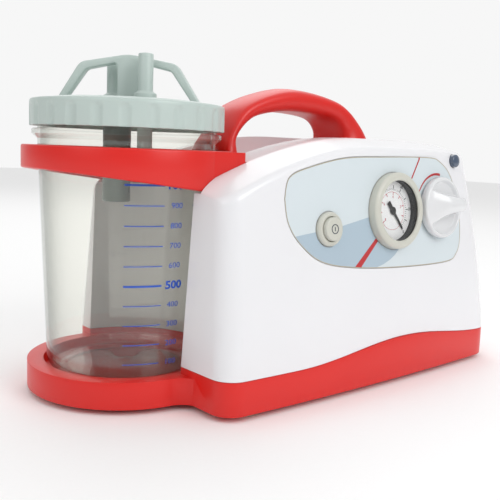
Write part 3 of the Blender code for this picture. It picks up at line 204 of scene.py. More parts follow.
def moulding(name, colour, shade, roughness, grain_mm=0.8, edge=0.0004, coat=0.0):
    """A moulded plastic: a colour that drifts with the flow, a fine skin of the mould's grain, and soft edges."""
    material, tree, shader = new_material(name)
    coordinates = object_coordinates(tree)
    flow = add_node(tree, "ShaderNodeTexNoise", {"Scale": 14.0, "Detail": 3.0, "Roughness": 0.6},
                    {"Vector": coordinates})
    grain = add_node(tree, "ShaderNodeTexNoise", {"Scale": 1000.0 / grain_mm, "Detail": 2.0}, {"Vector": coordinates})
    round_edge = add_node(tree, "ShaderNodeBevel", {"samples": 4, "Radius": edge})
    skin = add_node(tree, "ShaderNodeBump", {"Strength": 0.25, "Distance": 0.00002},
                    {"Height": grain.outputs["Fac"], "Normal": round_edge.outputs["Normal"]})
    tree.links.new(blended(tree, colour, shade, flow.outputs["Fac"]), shader.inputs["Base Color"])
    tree.links.new(ranged(tree, grain.outputs["Fac"], roughness - 0.05, roughness + 0.05), shader.inputs["Roughness"])
    tree.links.new(skin.outputs["Normal"], shader.inputs["Normal"])
    shader.inputs["IOR"].default_value = PLASTIC_IOR
    shader.inputs["Coat Weight"].default_value = coat
    shader.inputs["Coat Roughness"].default_value = 0.08
    return material


red_abs = moulding("injection moulded red ABS", "#DE1B11", "#D6170E", 0.34)


def bridged(shape, pairs):
    """Joins pairs of closed rings of vertices with faces. A ring of one vertex closes its pair to a point."""
    for low, high in pairs:
        steps = max(len(low), len(high))
        for i in range(steps):
            j = (i + 1) % steps
            shape.faces.new(list(dict.fromkeys((low[i % len(low)], low[j % len(low)], high[j % len(high)],
                                                high[i % len(high)]))))
    return shape


def lofted(sections, cap=True):
    """Joins closed sections of equal point counts."""
    shape = bmesh.new()
    rings = [[shape.verts.new(point) for point in section] for section in sections]
    bridged(shape, zip(rings, rings[1:]))
    if cap:
        shape.faces.new(rings[0])
        shape.faces.new(rings[-1])
    return shape


def prism(outline, low, high):
    """Extrudes a closed (x, y) outline from one height to another."""
    return lofted([[(x, y, z) for x, y in outline] for z in (low, high)])


def block(low, high):
    """A box between two corners, used as a cutter."""
    return prism([(low[0], low[1]), (high[0], low[1]), (high[0], high[1]), (low[0], high[1])], low[2], high[2])


def spun(profile, steps=128, reach=None):
    """Revolves (r, z) points about Z, as a closed ring if both ends are off the axis. reach may bend each radius."""
    shape = bmesh.new()
    rings = []
    for r, z in profile:
        if r < 1e-9:
            rings.append([shape.verts.new((0, 0, z))])
            continue
        ring = []
        for i in range(steps):
            angle = 2 * math.pi * i / steps
            here = reach(r, z, angle) if reach else r
            ring.append(shape.verts.new((here * math.cos(angle), here * math.sin(angle), z)))
        rings.append(ring)
    pairs = list(zip(rings, rings[1:]))
    if len(rings[0]) > 1 or len(rings[-1]) > 1:
        pairs.append((rings[-1], rings[0]))
    return bridged(shape, pairs)


def disc(radius, low, high, steps=128):
    """A plain cylinder about Z, used as a cutter or a core."""
    return spun([(0, low), (radius, low), (radius, high), (0, high)], steps)


def arc(centre, radius, start, end, steps):
    """Points on an arc, angles in degrees, both ends included."""
    angles = [math.radians(start + (end - start) * i / steps) for i in range(steps + 1)]
    return [(centre[0] + radius * math.cos(a), centre[1] + radius * math.sin(a)) for a in angles]


def rounded(corners, steps=4, closed=False):
    """An outline of (a, b, radius) corners, with an arc of steps edges at each corner that has a radius."""
    found = []
    for i, (a, b, radius) in enumerate(corners):
        here = Vector((a, b))
        if not radius or not closed and i in (0, len(corners) - 1):
            found.append(here)
            continue
        back = Vector(corners[i - 1][:2]) - here
        on = Vector(corners[(i + 1) % len(corners)][:2]) - here
        half = back.angle(on) / 2
        length = min(radius / math.tan(half), 0.48 * back.length, 0.48 * on.length)
        centre = here + (back.normalized() + on.normalized()).normalized() * length / math.cos(half)
        start = here + back.normalized() * length - centre
        turn = start.angle_signed(here + on.normalized() * length - centre)
        for k in range(steps + 1):
            found.append(centre + Matrix.Rotation(-turn * k / steps, 2) @ start)
    return found


def apply_modifiers(made):
    """Bakes an object's modifiers into its mesh."""
    graph = bpy.context.evaluated_depsgraph_get()
    mesh = bpy.data.meshes.new_from_object(made.evaluated_get(graph))
    made.modifiers.clear()
    made.data = mesh
    return made


def combine(target, other, operation):
    """Applies one exact Boolean with another object, which is then removed."""
    modifier = target.modifiers.new(operation, "BOOLEAN")
    modifier.solver = "EXACT"
    modifier.operation = operation
    modifier.object = other
    apply_modifiers(target)
    bpy.data.objects.remove(other)
    shape = bmesh.new()
    shape.from_mesh(target.data)
    bmesh.ops.remove_doubles(shape, verts=shape.verts, dist=0.00001)
    bmesh.ops.dissolve_degenerate(shape, edges=shape.edges, dist=0.00001)
    shape.to_mesh(target.data)
    shape.free()
    return target


def cut(target, shape, place=None):
    """Removes a shape from an object."""
    return combine(target, to_object("cutter", shape, place=place), "DIFFERENCE")


def join(target, shape, place=None):
    """Adds an overlapping shape to an object."""
    return combine(target, to_object("addition", shape, place=place), "UNION")


def soften(made, width, segments=2, angle=35):
    """Rounds an object's hard edges."""
    modifier = made.modifiers.new("edges", "BEVEL")
    modifier.width = width
    modifier.segments = segments
    modifier.limit_method = "ANGLE"
    modifier.angle_limit = math.radians(angle)
    return apply_modifiers(made)


def shade(made, angle=35):
    """Shades round faces smooth and keeps hard edges."""
    made.data.shade_smooth()
    made.data.set_sharp_from_angle(angle=math.radians(angle))
    return made


def put(made, body, slot, *nodes):
    """Sets a finished piece on its body, in place of the frame's nodes."""
    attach(made, body)
    if nodes:
        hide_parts(*nodes)
    return made


def put_turned(name, profile, material, place, body, slot, node=None, steps=128):
    """Revolves a profile and sets it on its body."""
    return put(shade(to_object(name, spun(profile, steps), material, place)), body, slot, *([node] if node else []))


def from_axis(x=0.0, y=0.0, z=0.0):
    """A place measured from the foot of the jar's axis."""
    return Matrix.Translation((JAR_X + x, JAR_Y + y, z))


def face_y(x, z):
    """The front face of the housing: it leans back and bows back to the right."""
    along = (x - HOUSING_LEFT) / HOUSING_LENGTH
    return FRONT_Y + math.tan(FRONT_LEAN) * (z - SEAM_Z) + FACE_BOW * along ** 2


def back_y(z):
    """The rear face of the housing, leaning forward."""
    return REAR_Y - math.tan(REAR_LEAN) * (z - SEAM_Z)


def left_x(y, z):
    """The left face of the housing, leaning in and a little further left at the back."""
    return HOUSING_LEFT + math.tan(SIDE_LEAN) * (z - SEAM_Z) - LEFT_SKEW * (y - FRONT_Y) / DEPTH


def seam_z(x):
    """The wave of the seam between the base and the shells."""
    off = min(abs(x - HOUSING_LEFT - SEAM_MID) / SEAM_REACH, 1.0)
    return SEAM_Z + SEAM_RISE * (1 + math.cos(math.pi * off)) / 2


def stations(corner_steps=8, middle_steps=34):
    """Shares of the housing's length, close together round its vertical corners, with the corner's inset."""
    found = []
    for i in range(corner_steps + 1):
        angle = math.pi / 2 * i / corner_steps
        found.append((LEFT_CORNER_R * (1 - math.cos(angle)), LEFT_CORNER_R * (1 - math.sin(angle))))
    clear = HOUSING_LENGTH - LEFT_CORNER_R - RIGHT_CORNER_R
    for i in range(1, middle_steps):
        found.append((LEFT_CORNER_R + clear * i / middle_steps, 0.0))
    for i in range(corner_steps + 1):
        angle = math.pi / 2 * i / corner_steps
        found.append((HOUSING_LENGTH - RIGHT_CORNER_R + RIGHT_CORNER_R * math.sin(angle),
                      RIGHT_CORNER_R * (1 - math.cos(angle))))
    return [(distance / HOUSING_LENGTH, inset) for distance, inset in found]


def plan_outline(wall):
    """The housing's outline at the seam."""
    front, rear = [], []
    for share, inset in stations():
        bow_x = HOUSING_LEFT + share * HOUSING_LENGTH
        for side, y in ((front, face_y(bow_x, SEAM_Z) + wall + inset), (rear, back_y(SEAM_Z) - wall - inset)):
            low_x = left_x(y, SEAM_Z) + wall
            side.append((low_x + share * (HOUSING_RIGHT - wall - low_x), y))
    return front + rear[::-1]


def waist_outline():
    """The tray's outline with its concave waists into the base."""
    points = []
    for side, waist in ((-1, WAIST_R), (1, REAR_WAIST_R)):
        face_x = left_x(side * DEPTH / 2, SEAM_Z) - JAR_X
        centre_x = face_x - waist
        centre_y = side * math.sqrt((TRAY_R + waist) ** 2 - centre_x ** 2)
        tangent = math.degrees(math.atan2(-centre_y, -centre_x))
        bend = arc((centre_x, centre_y), waist, 0, tangent - (360 if side > 0 and tangent > 0 else 0), 16)
        points.append([(face_x + WAIST_R, centre_y)] + bend)
    front, rear = points
    start = math.degrees(math.atan2(front[-1][1], front[-1][0])) % 360
    end = math.degrees(math.atan2(rear[-1][1], rear[-1][0])) % 360
    return front[:-1] + arc((0, 0), TRAY_R, start, end, 90) + rear[:-1][::-1]


base = to_object("base_and_tray", prism(plan_outline(0.0), TRAY_BOTTOM, HOUSING_TOP / 2), red_abs)
sections = []
for share, _ in stations():
    x = HOUSING_LEFT - LEFT_SKEW - OVERRUN + share * (HOUSING_LENGTH + LEFT_SKEW + 2 * OVERRUN)
    seam = seam_z(x) - GAP
    sections.append([(x, FRONT_Y - OVERRUN, seam), (x, REAR_Y + OVERRUN, seam), (x, REAR_Y + OVERRUN, HOUSING_TOP),
                     (x, FRONT_Y - OVERRUN, HOUSING_TOP)])
cut(base, lofted(sections))
join(base, prism(waist_outline(), TRAY_BOTTOM, TRAY_TOP), from_axis())
well = to_object("well", prism(plan_outline(WALL), TRAY_BOTTOM + WALL, HOUSING_TOP))
cut(well, disc(RECESS_R + WALL, 0, 2 * HOUSING_TOP), from_axis())
combine(base, well, "DIFFERENCE")
cut(base, disc(RECESS_R, TRAY_TOP, HOUSING_TOP), from_axis())
cut(base, disc(POCKET_R, POCKET_FLOOR, HOUSING_TOP), from_axis())
cut(base, disc(RECESS_R - WALL, 0, POCKET_FLOOR - WALL), from_axis())
feet = {name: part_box("foot_" + name) for name in ("front_left", "front_right", "rear_left", "rear_right")}
for low, high in feet.values():
    middle = (low + high) / 2
    radius = (high.x - low.x) / 2
    cut(base, disc(radius + 2 * GAP, -0.001, high.z + GAP, 48), Matrix.Translation((middle.x, middle.y, 0)))
screws = {name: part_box("screw_" + name) for name in ("front_left", "front_right", "rear_left", "rear_right")}
for low, high in screws.values():
    middle = (low + high) / 2
    cut(base, disc(0.0018, -0.001, HOUSING_TOP / 2, 24), Matrix.Translation((middle.x, middle.y, 0)))
soften(base, 0.0006)
put(shade(base, 40), "chassis", "red_abs", "base_tray")


# ---- Front and rear shells
# Two deep covers in glossy white ABS that meet under the handle. A round bay lets the jar in, a ring seat and two
# notches take the jar ring, a trough makes room for the hand, and the rear cover holds the connectors and vents.
BELLY_Z, RIGHT_DRAW, DRAW_POWER = 0.027, 0.0275, 1.63
SHOULDER_LENGTH, SHOULDER_DROP, END_START, END_DROP = 0.135, 0.0345, 0.185, 0.0058
EDGE_DROP, EDGE_R, CREST_R, FRONT_CREST, REAR_CREST = 0.006, 0.006, 0.018, 0.026, 0.022
RECESS_R_TOP, RING_R, RING_LOW = 0.0615, 0.0665, 0.132
LUG_REACH, LUG_END = 0.061, 0.050
TROUGH_DEPTH, TROUGH_FLOOR, TROUGH_MOUTH, TROUGH_END = 0.020, 0.027, 0.040, 0.214
BAY_X, BAY_Z, BAY_WIDTH, BAY_HEIGHT, BAY_DEPTH = 0.095, 0.068, 0.060, 0.036, 0.018
LABEL_RECESS = 0.001
white_abs = moulding("polished white ABS", "#EAEAEC", "#E6E6E9", 0.24, coat=0.2)


def right_x(z):
    """The right end of the housing, drawn in towards the top."""
    above = max(z - BELLY_Z, 0.0) / (HOUSING_TOP - BELLY_Z)
    return HOUSING_RIGHT - RIGHT_DRAW * above ** DRAW_POWER


def top_z(x):
    """The crest of the housing: a parabolic shoulder at the left and a slight fall at the right."""
    along = x - HOUSING_LEFT
    shoulder = max(1 - along / SHOULDER_LENGTH, 0.0) ** 2
    end = max(along - END_START, 0.0) / (HOUSING_LENGTH - END_START)
    return HOUSING_TOP - SHOULDER_DROP * shoulder - END_DROP * end ** 2


def foot_height(share, y, wall, bottom):
    """How high the housing's foot stands at a share of its length, on its front or its rear face."""
    low_x = left_x(y, SEAM_Z) + wall
    return bottom(low_x + share * (HOUSING_RIGHT - wall - low_x))


def housing_section(share, inset, wall, bottom):
    """A cross-section of the housing, from its front foot over the top to its rear foot."""
    left = HOUSING_LEFT + wall
    front_foot = foot_height(share, FRONT_Y + wall, wall, bottom)
    rear_foot = foot_height(share, REAR_Y - wall, wall, bottom)
    top_x = left + share * (right_x(HOUSING_TOP) - HOUSING_LEFT - 2 * wall)
    crest = top_z(top_x) - wall
    edge = crest - EDGE_DROP
    steps = 12
    front_levels = [front_foot + (edge - front_foot) * i / steps for i in range(steps)]
    rear_levels = [rear_foot + (edge - rear_foot) * i / steps for i in range(steps)]
    bow_x = HOUSING_LEFT + share * HOUSING_LENGTH
    front = [(face_y(bow_x, z) + wall + inset, z, 0.0) for z in front_levels]
    rear = [(back_y(z) - wall - inset, z, 0.0) for z in reversed(rear_levels)]
    front_edge = face_y(bow_x, edge) + wall + inset
    rear_edge = back_y(edge) - wall - inset
    top = [(front_edge, edge, EDGE_R), (front_edge + FRONT_CREST, crest, CREST_R),
           (rear_edge - REAR_CREST, crest, CREST_R), (rear_edge, edge, EDGE_R)]
    points = []
    for y, z in rounded(front + top + rear, 6):
        low_x = left_x(y, z) + wall
        points.append((low_x + share * (right_x(z) - wall - low_x), y, z))
    return points


def housing_block(wall, bottom):
    """The housing as one block, drawn in by a wall all round and standing on a bottom given by a function."""
    shape = lofted([housing_section(share, inset, wall, bottom) for share, inset in stations()], cap=False)
    shape.verts.ensure_lookup_table()
    count = len(shape.verts) // len(stations())
    for start in (0, len(shape.verts) - count):
        ring = shape.verts[start:start + count]
        for i in range(count // 2 - 1):
            shape.faces.new((ring[i], ring[i + 1], ring[count - 2 - i], ring[count - 1 - i]))
    return shape


def recess(grow):
    """The conical bay that the jar stands in."""
    high = HOUSING_TOP + OVERRUN
    return spun([(0, TRAY_TOP), (RECESS_R + grow, TRAY_TOP), (RECESS_R_TOP + grow, high), (0, high)])


def ring_seat(grow):
    """The step in the bay that the jar ring fits."""
    return disc(RING_R + GAP + grow, RING_LOW - GAP - grow, HOUSING_TOP + OVERRUN)


def lug_notch(grow):
    """The notch that the ring's flat lugs fit."""
    reach = LUG_REACH + GAP + grow
    return block((-LEFT_SKEW, -reach, RING_LOW - GAP - grow), (LUG_END + GAP + grow, reach, HOUSING_TOP + OVERRUN))


def trough(grow):
    """The long hollow in the top that makes room for a hand under the handle."""
    start = HOUSING_LEFT - LEFT_SKEW
    end = JAR_X + TROUGH_END + grow
    sections = []
    for i in range(25):
        x = start + (end - start) * i / 24
        floor = top_z(x) - TROUGH_DEPTH - grow
        outline = rounded([(JAR_Y - TROUGH_MOUTH - grow, top_z(x) + OVERRUN, 0),
                           (JAR_Y - TROUGH_FLOOR - grow, floor, 0.006), (JAR_Y + TROUGH_FLOOR + grow, floor, 0.006),
                           (JAR_Y + TROUGH_MOUTH + grow, top_z(x) + OVERRUN, 0)], 6)
        sections.append([(x, y, z) for y, z in outline])
    return lofted(sections)


def rear_bay(grow):
    """The sunk bay for the two connectors in the rear face."""
    x = JAR_X + BAY_X
    return block((x - BAY_WIDTH / 2 - grow, back_y(BAY_Z) - BAY_DEPTH - grow, BAY_Z - BAY_HEIGHT / 2 - grow),
                 (x + BAY_WIDTH / 2 + grow, REAR_Y + OVERRUN, BAY_Z + BAY_HEIGHT / 2 + grow))


def opened_block(wall, bottom, grow):
    """The housing block less every bay that is let into it."""
    made = to_object("block", housing_block(wall, bottom))
    for hollow, place in ((recess, from_axis()), (ring_seat, from_axis()), (lug_notch, from_axis()), (trough, None),
                          (rear_bay, None)):
        cut(made, hollow(grow), place)
    return made


def face_frame(x, z):
    """A place on the front face: its Z points out of the face and its X to the right. x is from the jar's axis."""
    x += JAR_X
    slope = 2 * FACE_BOW * (x - HOUSING_LEFT) / HOUSING_LENGTH ** 2
    out = Vector((slope, -1, math.tan(FRONT_LEAN))).normalized()
    right = Vector((0, 0, 1)).cross(out).normalized()
    return Matrix.Translation((x, face_y(x, z), z)) @ Matrix((right, out.cross(right), out)).transposed().to_4x4()


def rear_frame(x, z):
    """A place on the rear face: its Z points out of the face. x is from the jar's axis."""
    out = Vector((0, 1, math.tan(REAR_LEAN))).normalized()
    right = Vector((-1, 0, 0))
    turn = Matrix((right, out.cross(right), out)).transposed().to_4x4()
    return Matrix.Translation((JAR_X + x, back_y(z), z)) @ turn


def smooth_curve(points, per_span):
    """Points on a Catmull-Rom curve through the given ones, per_span to each stretch, both ends kept."""
    padded = [points[0], *points, points[-1]]
    found = []
    for i in range(len(points) - 1):
        before, start, end, after = (Vector(point) for point in padded[i:i + 4])
        for k in range(per_span):
            t = k / per_span
            found.append(0.5 * (2 * start + (end - before) * t + (2 * before - 5 * start + 4 * end - after) * t ** 2
                                + (3 * start - before - 3 * end + after) * t ** 3))
    found.append(Vector(points[-1]))
    return found


LABEL_CORNERS = [(0.058, 0.130), (0.0625, 0.143), (0.080, 0.1495), (0.111, 0.1556), (0.146, 0.1572), (0.200, 0.1580),
                 (0.216, 0.1550), (0.230, 0.1440), (0.2400, 0.120), (0.2415, 0.098), (0.236, 0.0860), (0.222, 0.0810),
                 (0.166, 0.0812), (0.118, 0.0843), (0.088, 0.0900), (0.070, 0.1020), (0.0605, 0.115), (0.058, 0.130)]


def label_outline(grow):
    """The control label's outline on the face, as (x from the jar's axis, z)."""
    points = smooth_curve(LABEL_CORNERS, 8)[:-1]
    found = []
    for i, here in enumerate(points):
        along = points[(i + 1) % len(points)] - points[i - 1]
        found.append(here + Vector((-along.y, along.x)).normalized() * grow)
    return found


def face_sheet(outline, outer, inner):
    """A sheet that follows the bowed front face, from one depth below it to another."""
    shape = bmesh.new()
    near = [shape.verts.new((JAR_X + x, outer, z)) for x, z in outline]
    far = [shape.verts.new((JAR_X + x, inner, z)) for x, z in outline]
    for i in range(len(outline)):
        j = (i + 1) % len(outline)
        shape.faces.new((near[i], near[j], far[j], far[i]))
    shape.faces.new(near)
    shape.faces.new(far)
    for i in range(1, 32):
        x = HOUSING_LEFT + HOUSING_LENGTH * i / 32
        bmesh.ops.bisect_plane(shape, geom=[*shape.verts, *shape.edges, *shape.faces], plane_co=(x, 0, 0),
                               plane_no=(1, 0, 0))
    for vertex in shape.verts:
        vertex.co.y += face_y(vertex.co.x, vertex.co.z)
    return shape


BUTTON_PLACE, GAUGE_PLACE, KNOB_PLACE = face_frame(0.0950, 0.1105), face_frame(0.160, 0.1205), face_frame(0.2112,
                                                                                                          0.1215)
BUTTON_BARREL_R, BUTTON_BEZEL_R, GAUGE_CASE_R, GAUGE_BEZEL_R, SPINDLE_R = 0.0093, 0.011, 0.0224, 0.0263, 0.003
LENS_PLACE, LENS_R = face_frame(0.2362, 0.1560), 0.0048
VENT_COUNT, VENT_PITCH, VENT_WIDTH, VENT_HEIGHT, VENT_X, VENT_Z = 6, 0.007, 0.003, 0.030, 0.200, 0.120
BAY_BACK = Matrix.Translation((JAR_X + BAY_X, back_y(BAY_Z) - BAY_DEPTH, BAY_Z))
TO_REAR = Matrix.Rotation(-math.pi / 2, 4, "X")

whole = opened_block(0.0, seam_z, 0.0)
combine(whole, opened_block(WALL, lambda x: TRAY_BOTTOM, WALL), "DIFFERENCE")
shells = []
for name, low, high in (("front_cover", 2 * FRONT_Y, JAR_Y - GAP / 2), ("rear_cover", JAR_Y + GAP / 2, 2 * REAR_Y)):
    half = to_object("half", block((-0.4, low, 0), (0.4, high, 2 * HOUSING_TOP)))
    shell = bpy.data.objects.new(name, whole.data.copy())
    bpy.context.scene.collection.objects.link(shell)
    combine(shell, half, "INTERSECT")
    shell.data.materials.clear()
    shell.data.materials.append(white_abs)
    shells.append(shell)
bpy.data.objects.remove(whole)
front, rear = shells
cut(front, face_sheet(label_outline(GAP), -WALL, LABEL_RECESS))
for place, radius in ((BUTTON_PLACE, BUTTON_BARREL_R + GAP), (GAUGE_PLACE, GAUGE_CASE_R + GAP), (KNOB_PLACE, 0.005)):
    cut(front, disc(radius, -2 * WALL, 2 * WALL, 64), place)
cut(front, disc(LENS_R + GAP, -0.008, 2 * WALL, 32), LENS_PLACE)
for i in range(VENT_COUNT):
    slot = block((-VENT_WIDTH / 2, -VENT_HEIGHT / 2, -2 * WALL), (VENT_WIDTH / 2, VENT_HEIGHT / 2, 2 * WALL))
    cut(rear, slot, rear_frame(VENT_X + VENT_PITCH * (i - (VENT_COUNT - 1) / 2), VENT_Z))
for side, radius in ((-1, 0.0075), (1, 0.0035)):
    cut(rear, disc(radius + GAP, -2 * WALL, 2 * WALL, 32), BAY_BACK @ Matrix.Translation((side * BAY_WIDTH / 4, 0,
                                                                                          0)) @ TO_REAR)
put(shade(front, 32), "chassis", "white_abs", "front_shell")
put(shade(rear, 32), "chassis", "white_abs", "rear_shell")


# ---- Jar ring
# A stout hoop in the same red ABS that steadies the jar. Its lower edge slants up to the far side, and a flat lug on
# each side keys it into the covers.
RING_WALL, RING_TOP, RING_LOW_FAR, RING_ROUND = 0.008, 0.157, 0.143, 0.0012
LUG_START, LUG_ROOT = 0.018, 0.046
ring_shape = bmesh.new()
hoops = []
for i in range(180):
    angle = 2 * math.pi * i / 180
    low = RING_LOW_FAR + (RING_LOW - RING_LOW_FAR) * min((math.cos(angle) + 1) / 1.35, 1.0)
    inner = RING_R - RING_WALL
    outline = rounded([(inner, low, 0.0006), (RING_R, low, RING_ROUND), (RING_R, RING_TOP, RING_ROUND),
                       (inner, RING_TOP, 0.0006)], 3, closed=True)
    hoops.append([ring_shape.verts.new((r * math.cos(angle), r * math.sin(angle), z)) for r, z in outline])
bridged(ring_shape, zip(hoops, hoops[1:] + hoops[:1]))
ring = to_object("jar_hoop", ring_shape, red_abs, from_axis())
for side in (-1, 1):
    plan = [(LUG_START, side * LUG_ROOT), (LUG_END - 0.004, side * LUG_ROOT)]
    plan += [(LUG_END - 0.0022 + 0.0022 * math.sin(math.radians(a)),
              side * (LUG_REACH - 0.0022 + 0.0022 * math.cos(math.radians(a))))
             for a in (90, 67, 45, 22, 0)]
    plan += [(LUG_START, side * LUG_REACH)]
    lug = to_object("lug", prism(plan, RING_LOW + 0.0005, RING_TOP - 0.0005), place=from_axis())
    cut(lug, disc(RING_R - RING_WALL + 0.001, 0, HOUSING_TOP), from_axis())
    combine(ring, lug, "UNION")
put(shade(ring, 32), "chassis", "red_abs", "jar_ring")


# ---- Carrying handle
# An arched strap in red ABS, crowned on top and flat below. Its left foot stands behind the jar ring and its right
# leg drops into the trough, where both are screwed from inside.
HANDLE_TOP, GRIP_THICK, HALF_WIDTH, FOOT_WIDTH, CROWN_X = 0.204, 0.0165, 0.020, 0.0245, 0.134
LEG_INNER, LEG_OUTER, LID_R = 0.175, 0.208, 0.0614
floor_left = top_z(JAR_X + 0.0785) - TROUGH_DEPTH + 2 * GAP
floor_right = top_z(JAR_X + LEG_INNER) - TROUGH_DEPTH + 0.001
seat = RING_TOP + GAP
grip = HANDLE_TOP - GRIP_THICK
outer_line = [(0.058, floor_left), (0.060, seat), (0.066, 0.169), (0.0795, 0.1885), (0.108, HANDLE_TOP - 0.003),
              (CROWN_X, HANDLE_TOP), (0.172, HANDLE_TOP - 0.0065), (0.195, 0.181), (LEG_OUTER - 0.002, 0.163),
              (LEG_OUTER, floor_right)]
inner_line = [(0.0775, floor_left), (0.0725, seat), (0.0745, 0.168), (0.0875, 0.1805), (0.110, grip - 0.0012),
              (CROWN_X, grip), (0.162, grip - 0.003), (LEG_INNER - 0.001, 0.175), (LEG_INNER + 0.0005, 0.160),
              (LEG_INNER + 0.001, floor_right)]
widths = [FOOT_WIDTH, FOOT_WIDTH - 0.001] + [HALF_WIDTH] * 5 + [HALF_WIDTH + 0.001, FOOT_WIDTH, FOOT_WIDTH]


def smooth_stops(stops, per_span):
    """Catmull-Rom between lists of numbers, both ends kept."""
    padded = [stops[0], *stops, stops[-1]]
    found = []
    for i in range(len(stops) - 1):
        for k in range(per_span):
            t = k / per_span
            found.append([0.5 * (2 * b + (c - a) * t + (2 * a - 5 * b + 4 * c - d) * t ** 2
                                 + (3 * b - a - 3 * c + d) * t ** 3) for a, b, c, d in zip(*padded[i:i + 4])])
    found.append(list(stops[-1]))
    return found


strap_round = [(-1.0, 0.46), (-0.98, 0.33), (-0.93, 0.23), (-0.82, 0.15), (-0.6, 0.07), (-0.3, 0.02), (0.0, 0.0),
               (0.3, 0.02),
               (0.6, 0.07), (0.82, 0.15), (0.93, 0.23), (0.98, 0.33), (1.0, 0.46), (0.99, 0.65), (0.95, 0.82),
               (0.87, 0.94),
               (0.75, 1.0), (0.4, 1.0), (0.0, 1.0), (-0.4, 1.0), (-0.75, 1.0), (-0.87, 0.94), (-0.95, 0.82),
               (-0.99, 0.65)]
sections = []
for ox, oz, ix, iz, width in smooth_stops([(*a, *b, w) for a, b, w in zip(outer_line, inner_line, widths)], 8):
    out = Vector((ox, oz))
    away = Vector((ix, iz)) - out
    sections.append([(place.x, side * width, place.y)
                     for side, deep in strap_round for place in (out + away * deep,)])
handle = to_object("carrying_handle", lofted(sections), red_abs, from_axis())
cut(handle, disc(LID_R + 0.001, 0, 2 * HANDLE_TOP), from_axis())
cut(handle, disc(RING_R + 2 * GAP, 0, seat), from_axis())
put(shade(handle, 32), "chassis", "red_abs", "carry_handle")


# ---- Control label
# A polyester film with its print underneath, stuck in a shallow panel of the front cover. The print is a pale blue
# field with a darker wedge, two red stripes and a red arc that grows round the regulator knob. It says nothing in
# words.
FILM_THICK, PRINT_THICK = 0.0006, 0.00006
FILM_FACE = LABEL_RECESS - GAP - FILM_THICK


def printed_film(name, colour, shade):
    """A satin printed film."""
    return moulding(name, colour, shade, 0.34, grain_mm=0.5, edge=0.0002)


film_blue = printed_film("printed polyester film", "#D0DADE", "#D4DDE1")
film_dark = printed_film("darker print under polyester film", "#A9BBC8", "#ADBFCB")
film_red = printed_film("red print under polyester film", "#B5262B", "#BC2C30")
film_edge = printed_film("cut edge of polyester film", "#B9AF9C", "#B2A896")
film = to_object("control_film", face_sheet(label_outline(0.0), FILM_FACE, LABEL_RECESS - GAP), film_blue)
holes = ((BUTTON_PLACE, BUTTON_BEZEL_R), (GAUGE_PLACE, GAUGE_BEZEL_R), (KNOB_PLACE, 0.005))
for place, radius in holes:
    cut(film, disc(radius + 2 * GAP, -2 * WALL, 2 * WALL, 64), place)
put(shade(film, 32), "chassis", "label_film", "control_label")


def overprint(name, outline, material, lift=1.0):
    """A printed area on the label, trimmed to its outline. lift is its height in thicknesses of print."""
    made = to_object(name, face_sheet(outline, FILM_FACE - lift * PRINT_THICK, FILM_FACE + PRINT_THICK), material)
    trim = to_object("trim", face_sheet(label_outline(-0.0005), -WALL, WALL))
    combine(made, trim, "INTERSECT")
    for place, radius in holes:
        cut(made, disc(radius + 2 * GAP, -2 * WALL, 2 * WALL, 64), place)
    return put(shade(made, 32), "chassis", "label_film")


overprint("label_wedge", [(0.050, 0.1050), (0.0741, 0.1079), (0.0912, 0.1098), (0.1083, 0.1121), (0.1354, 0.1172),
                          (0.152, 0.1215),
                          (0.1665, 0.1000), (0.1641, 0.0933), (0.1600, 0.0900), (0.1548, 0.0872), (0.148, 0.0846),
                          (0.140, 0.0828),
                          (0.130, 0.075), (0.050, 0.075)], film_dark)
overprint("label_stripe_low", [(0.1192, 0.078), (0.1249, 0.078), (0.1253, 0.0846), (0.1466, 0.1045), (0.1444, 0.1060),
                               (0.1192, 0.0850)],
          film_red, 2.0)
overprint("label_stripe_high", [(0.1898, 0.1600), (0.1912, 0.1600), (0.1904, 0.1561), (0.1797, 0.1402),
                                (0.1784, 0.1402), (0.1890, 0.1561)],
          film_red, 2.0)
KNOB_AXIS_X, KNOB_AXIS_Z = 0.2112, 0.1215
arc_out = arc((KNOB_AXIS_X, KNOB_AXIS_Z), 0.0252, 80, 172, 40)
arc_in = [(KNOB_AXIS_X + (0.0252 - w) * math.cos(a), KNOB_AXIS_Z + (0.0252 - w) * math.sin(a))
          for a, w in ((math.radians(172 - 92 * i / 40), 0.0004 + 0.0014 * (i / 40) ** 0.8) for i in range(41))]
overprint("knob_arc", [*arc_out, *arc_in], film_red, 2.0)
rim_out = label_outline(0.0)
rim_in = label_outline(-0.0006)
rim_shape = bmesh.new()
rim_rings = [[rim_shape.verts.new((JAR_X + x, depth + face_y(JAR_X + x, z), z)) for x, z in line]
             for line, depth in ((rim_out, FILM_FACE), (rim_out, FILM_FACE - PRINT_THICK),
                                 (rim_in, FILM_FACE - PRINT_THICK),
                                 (rim_in, FILM_FACE))]
bridged(rim_shape, zip(rim_rings, rim_rings[1:] + rim_rings[:1]))
put(shade(to_object("label_edge", rim_shape, film_edge)), "chassis", "label_film")


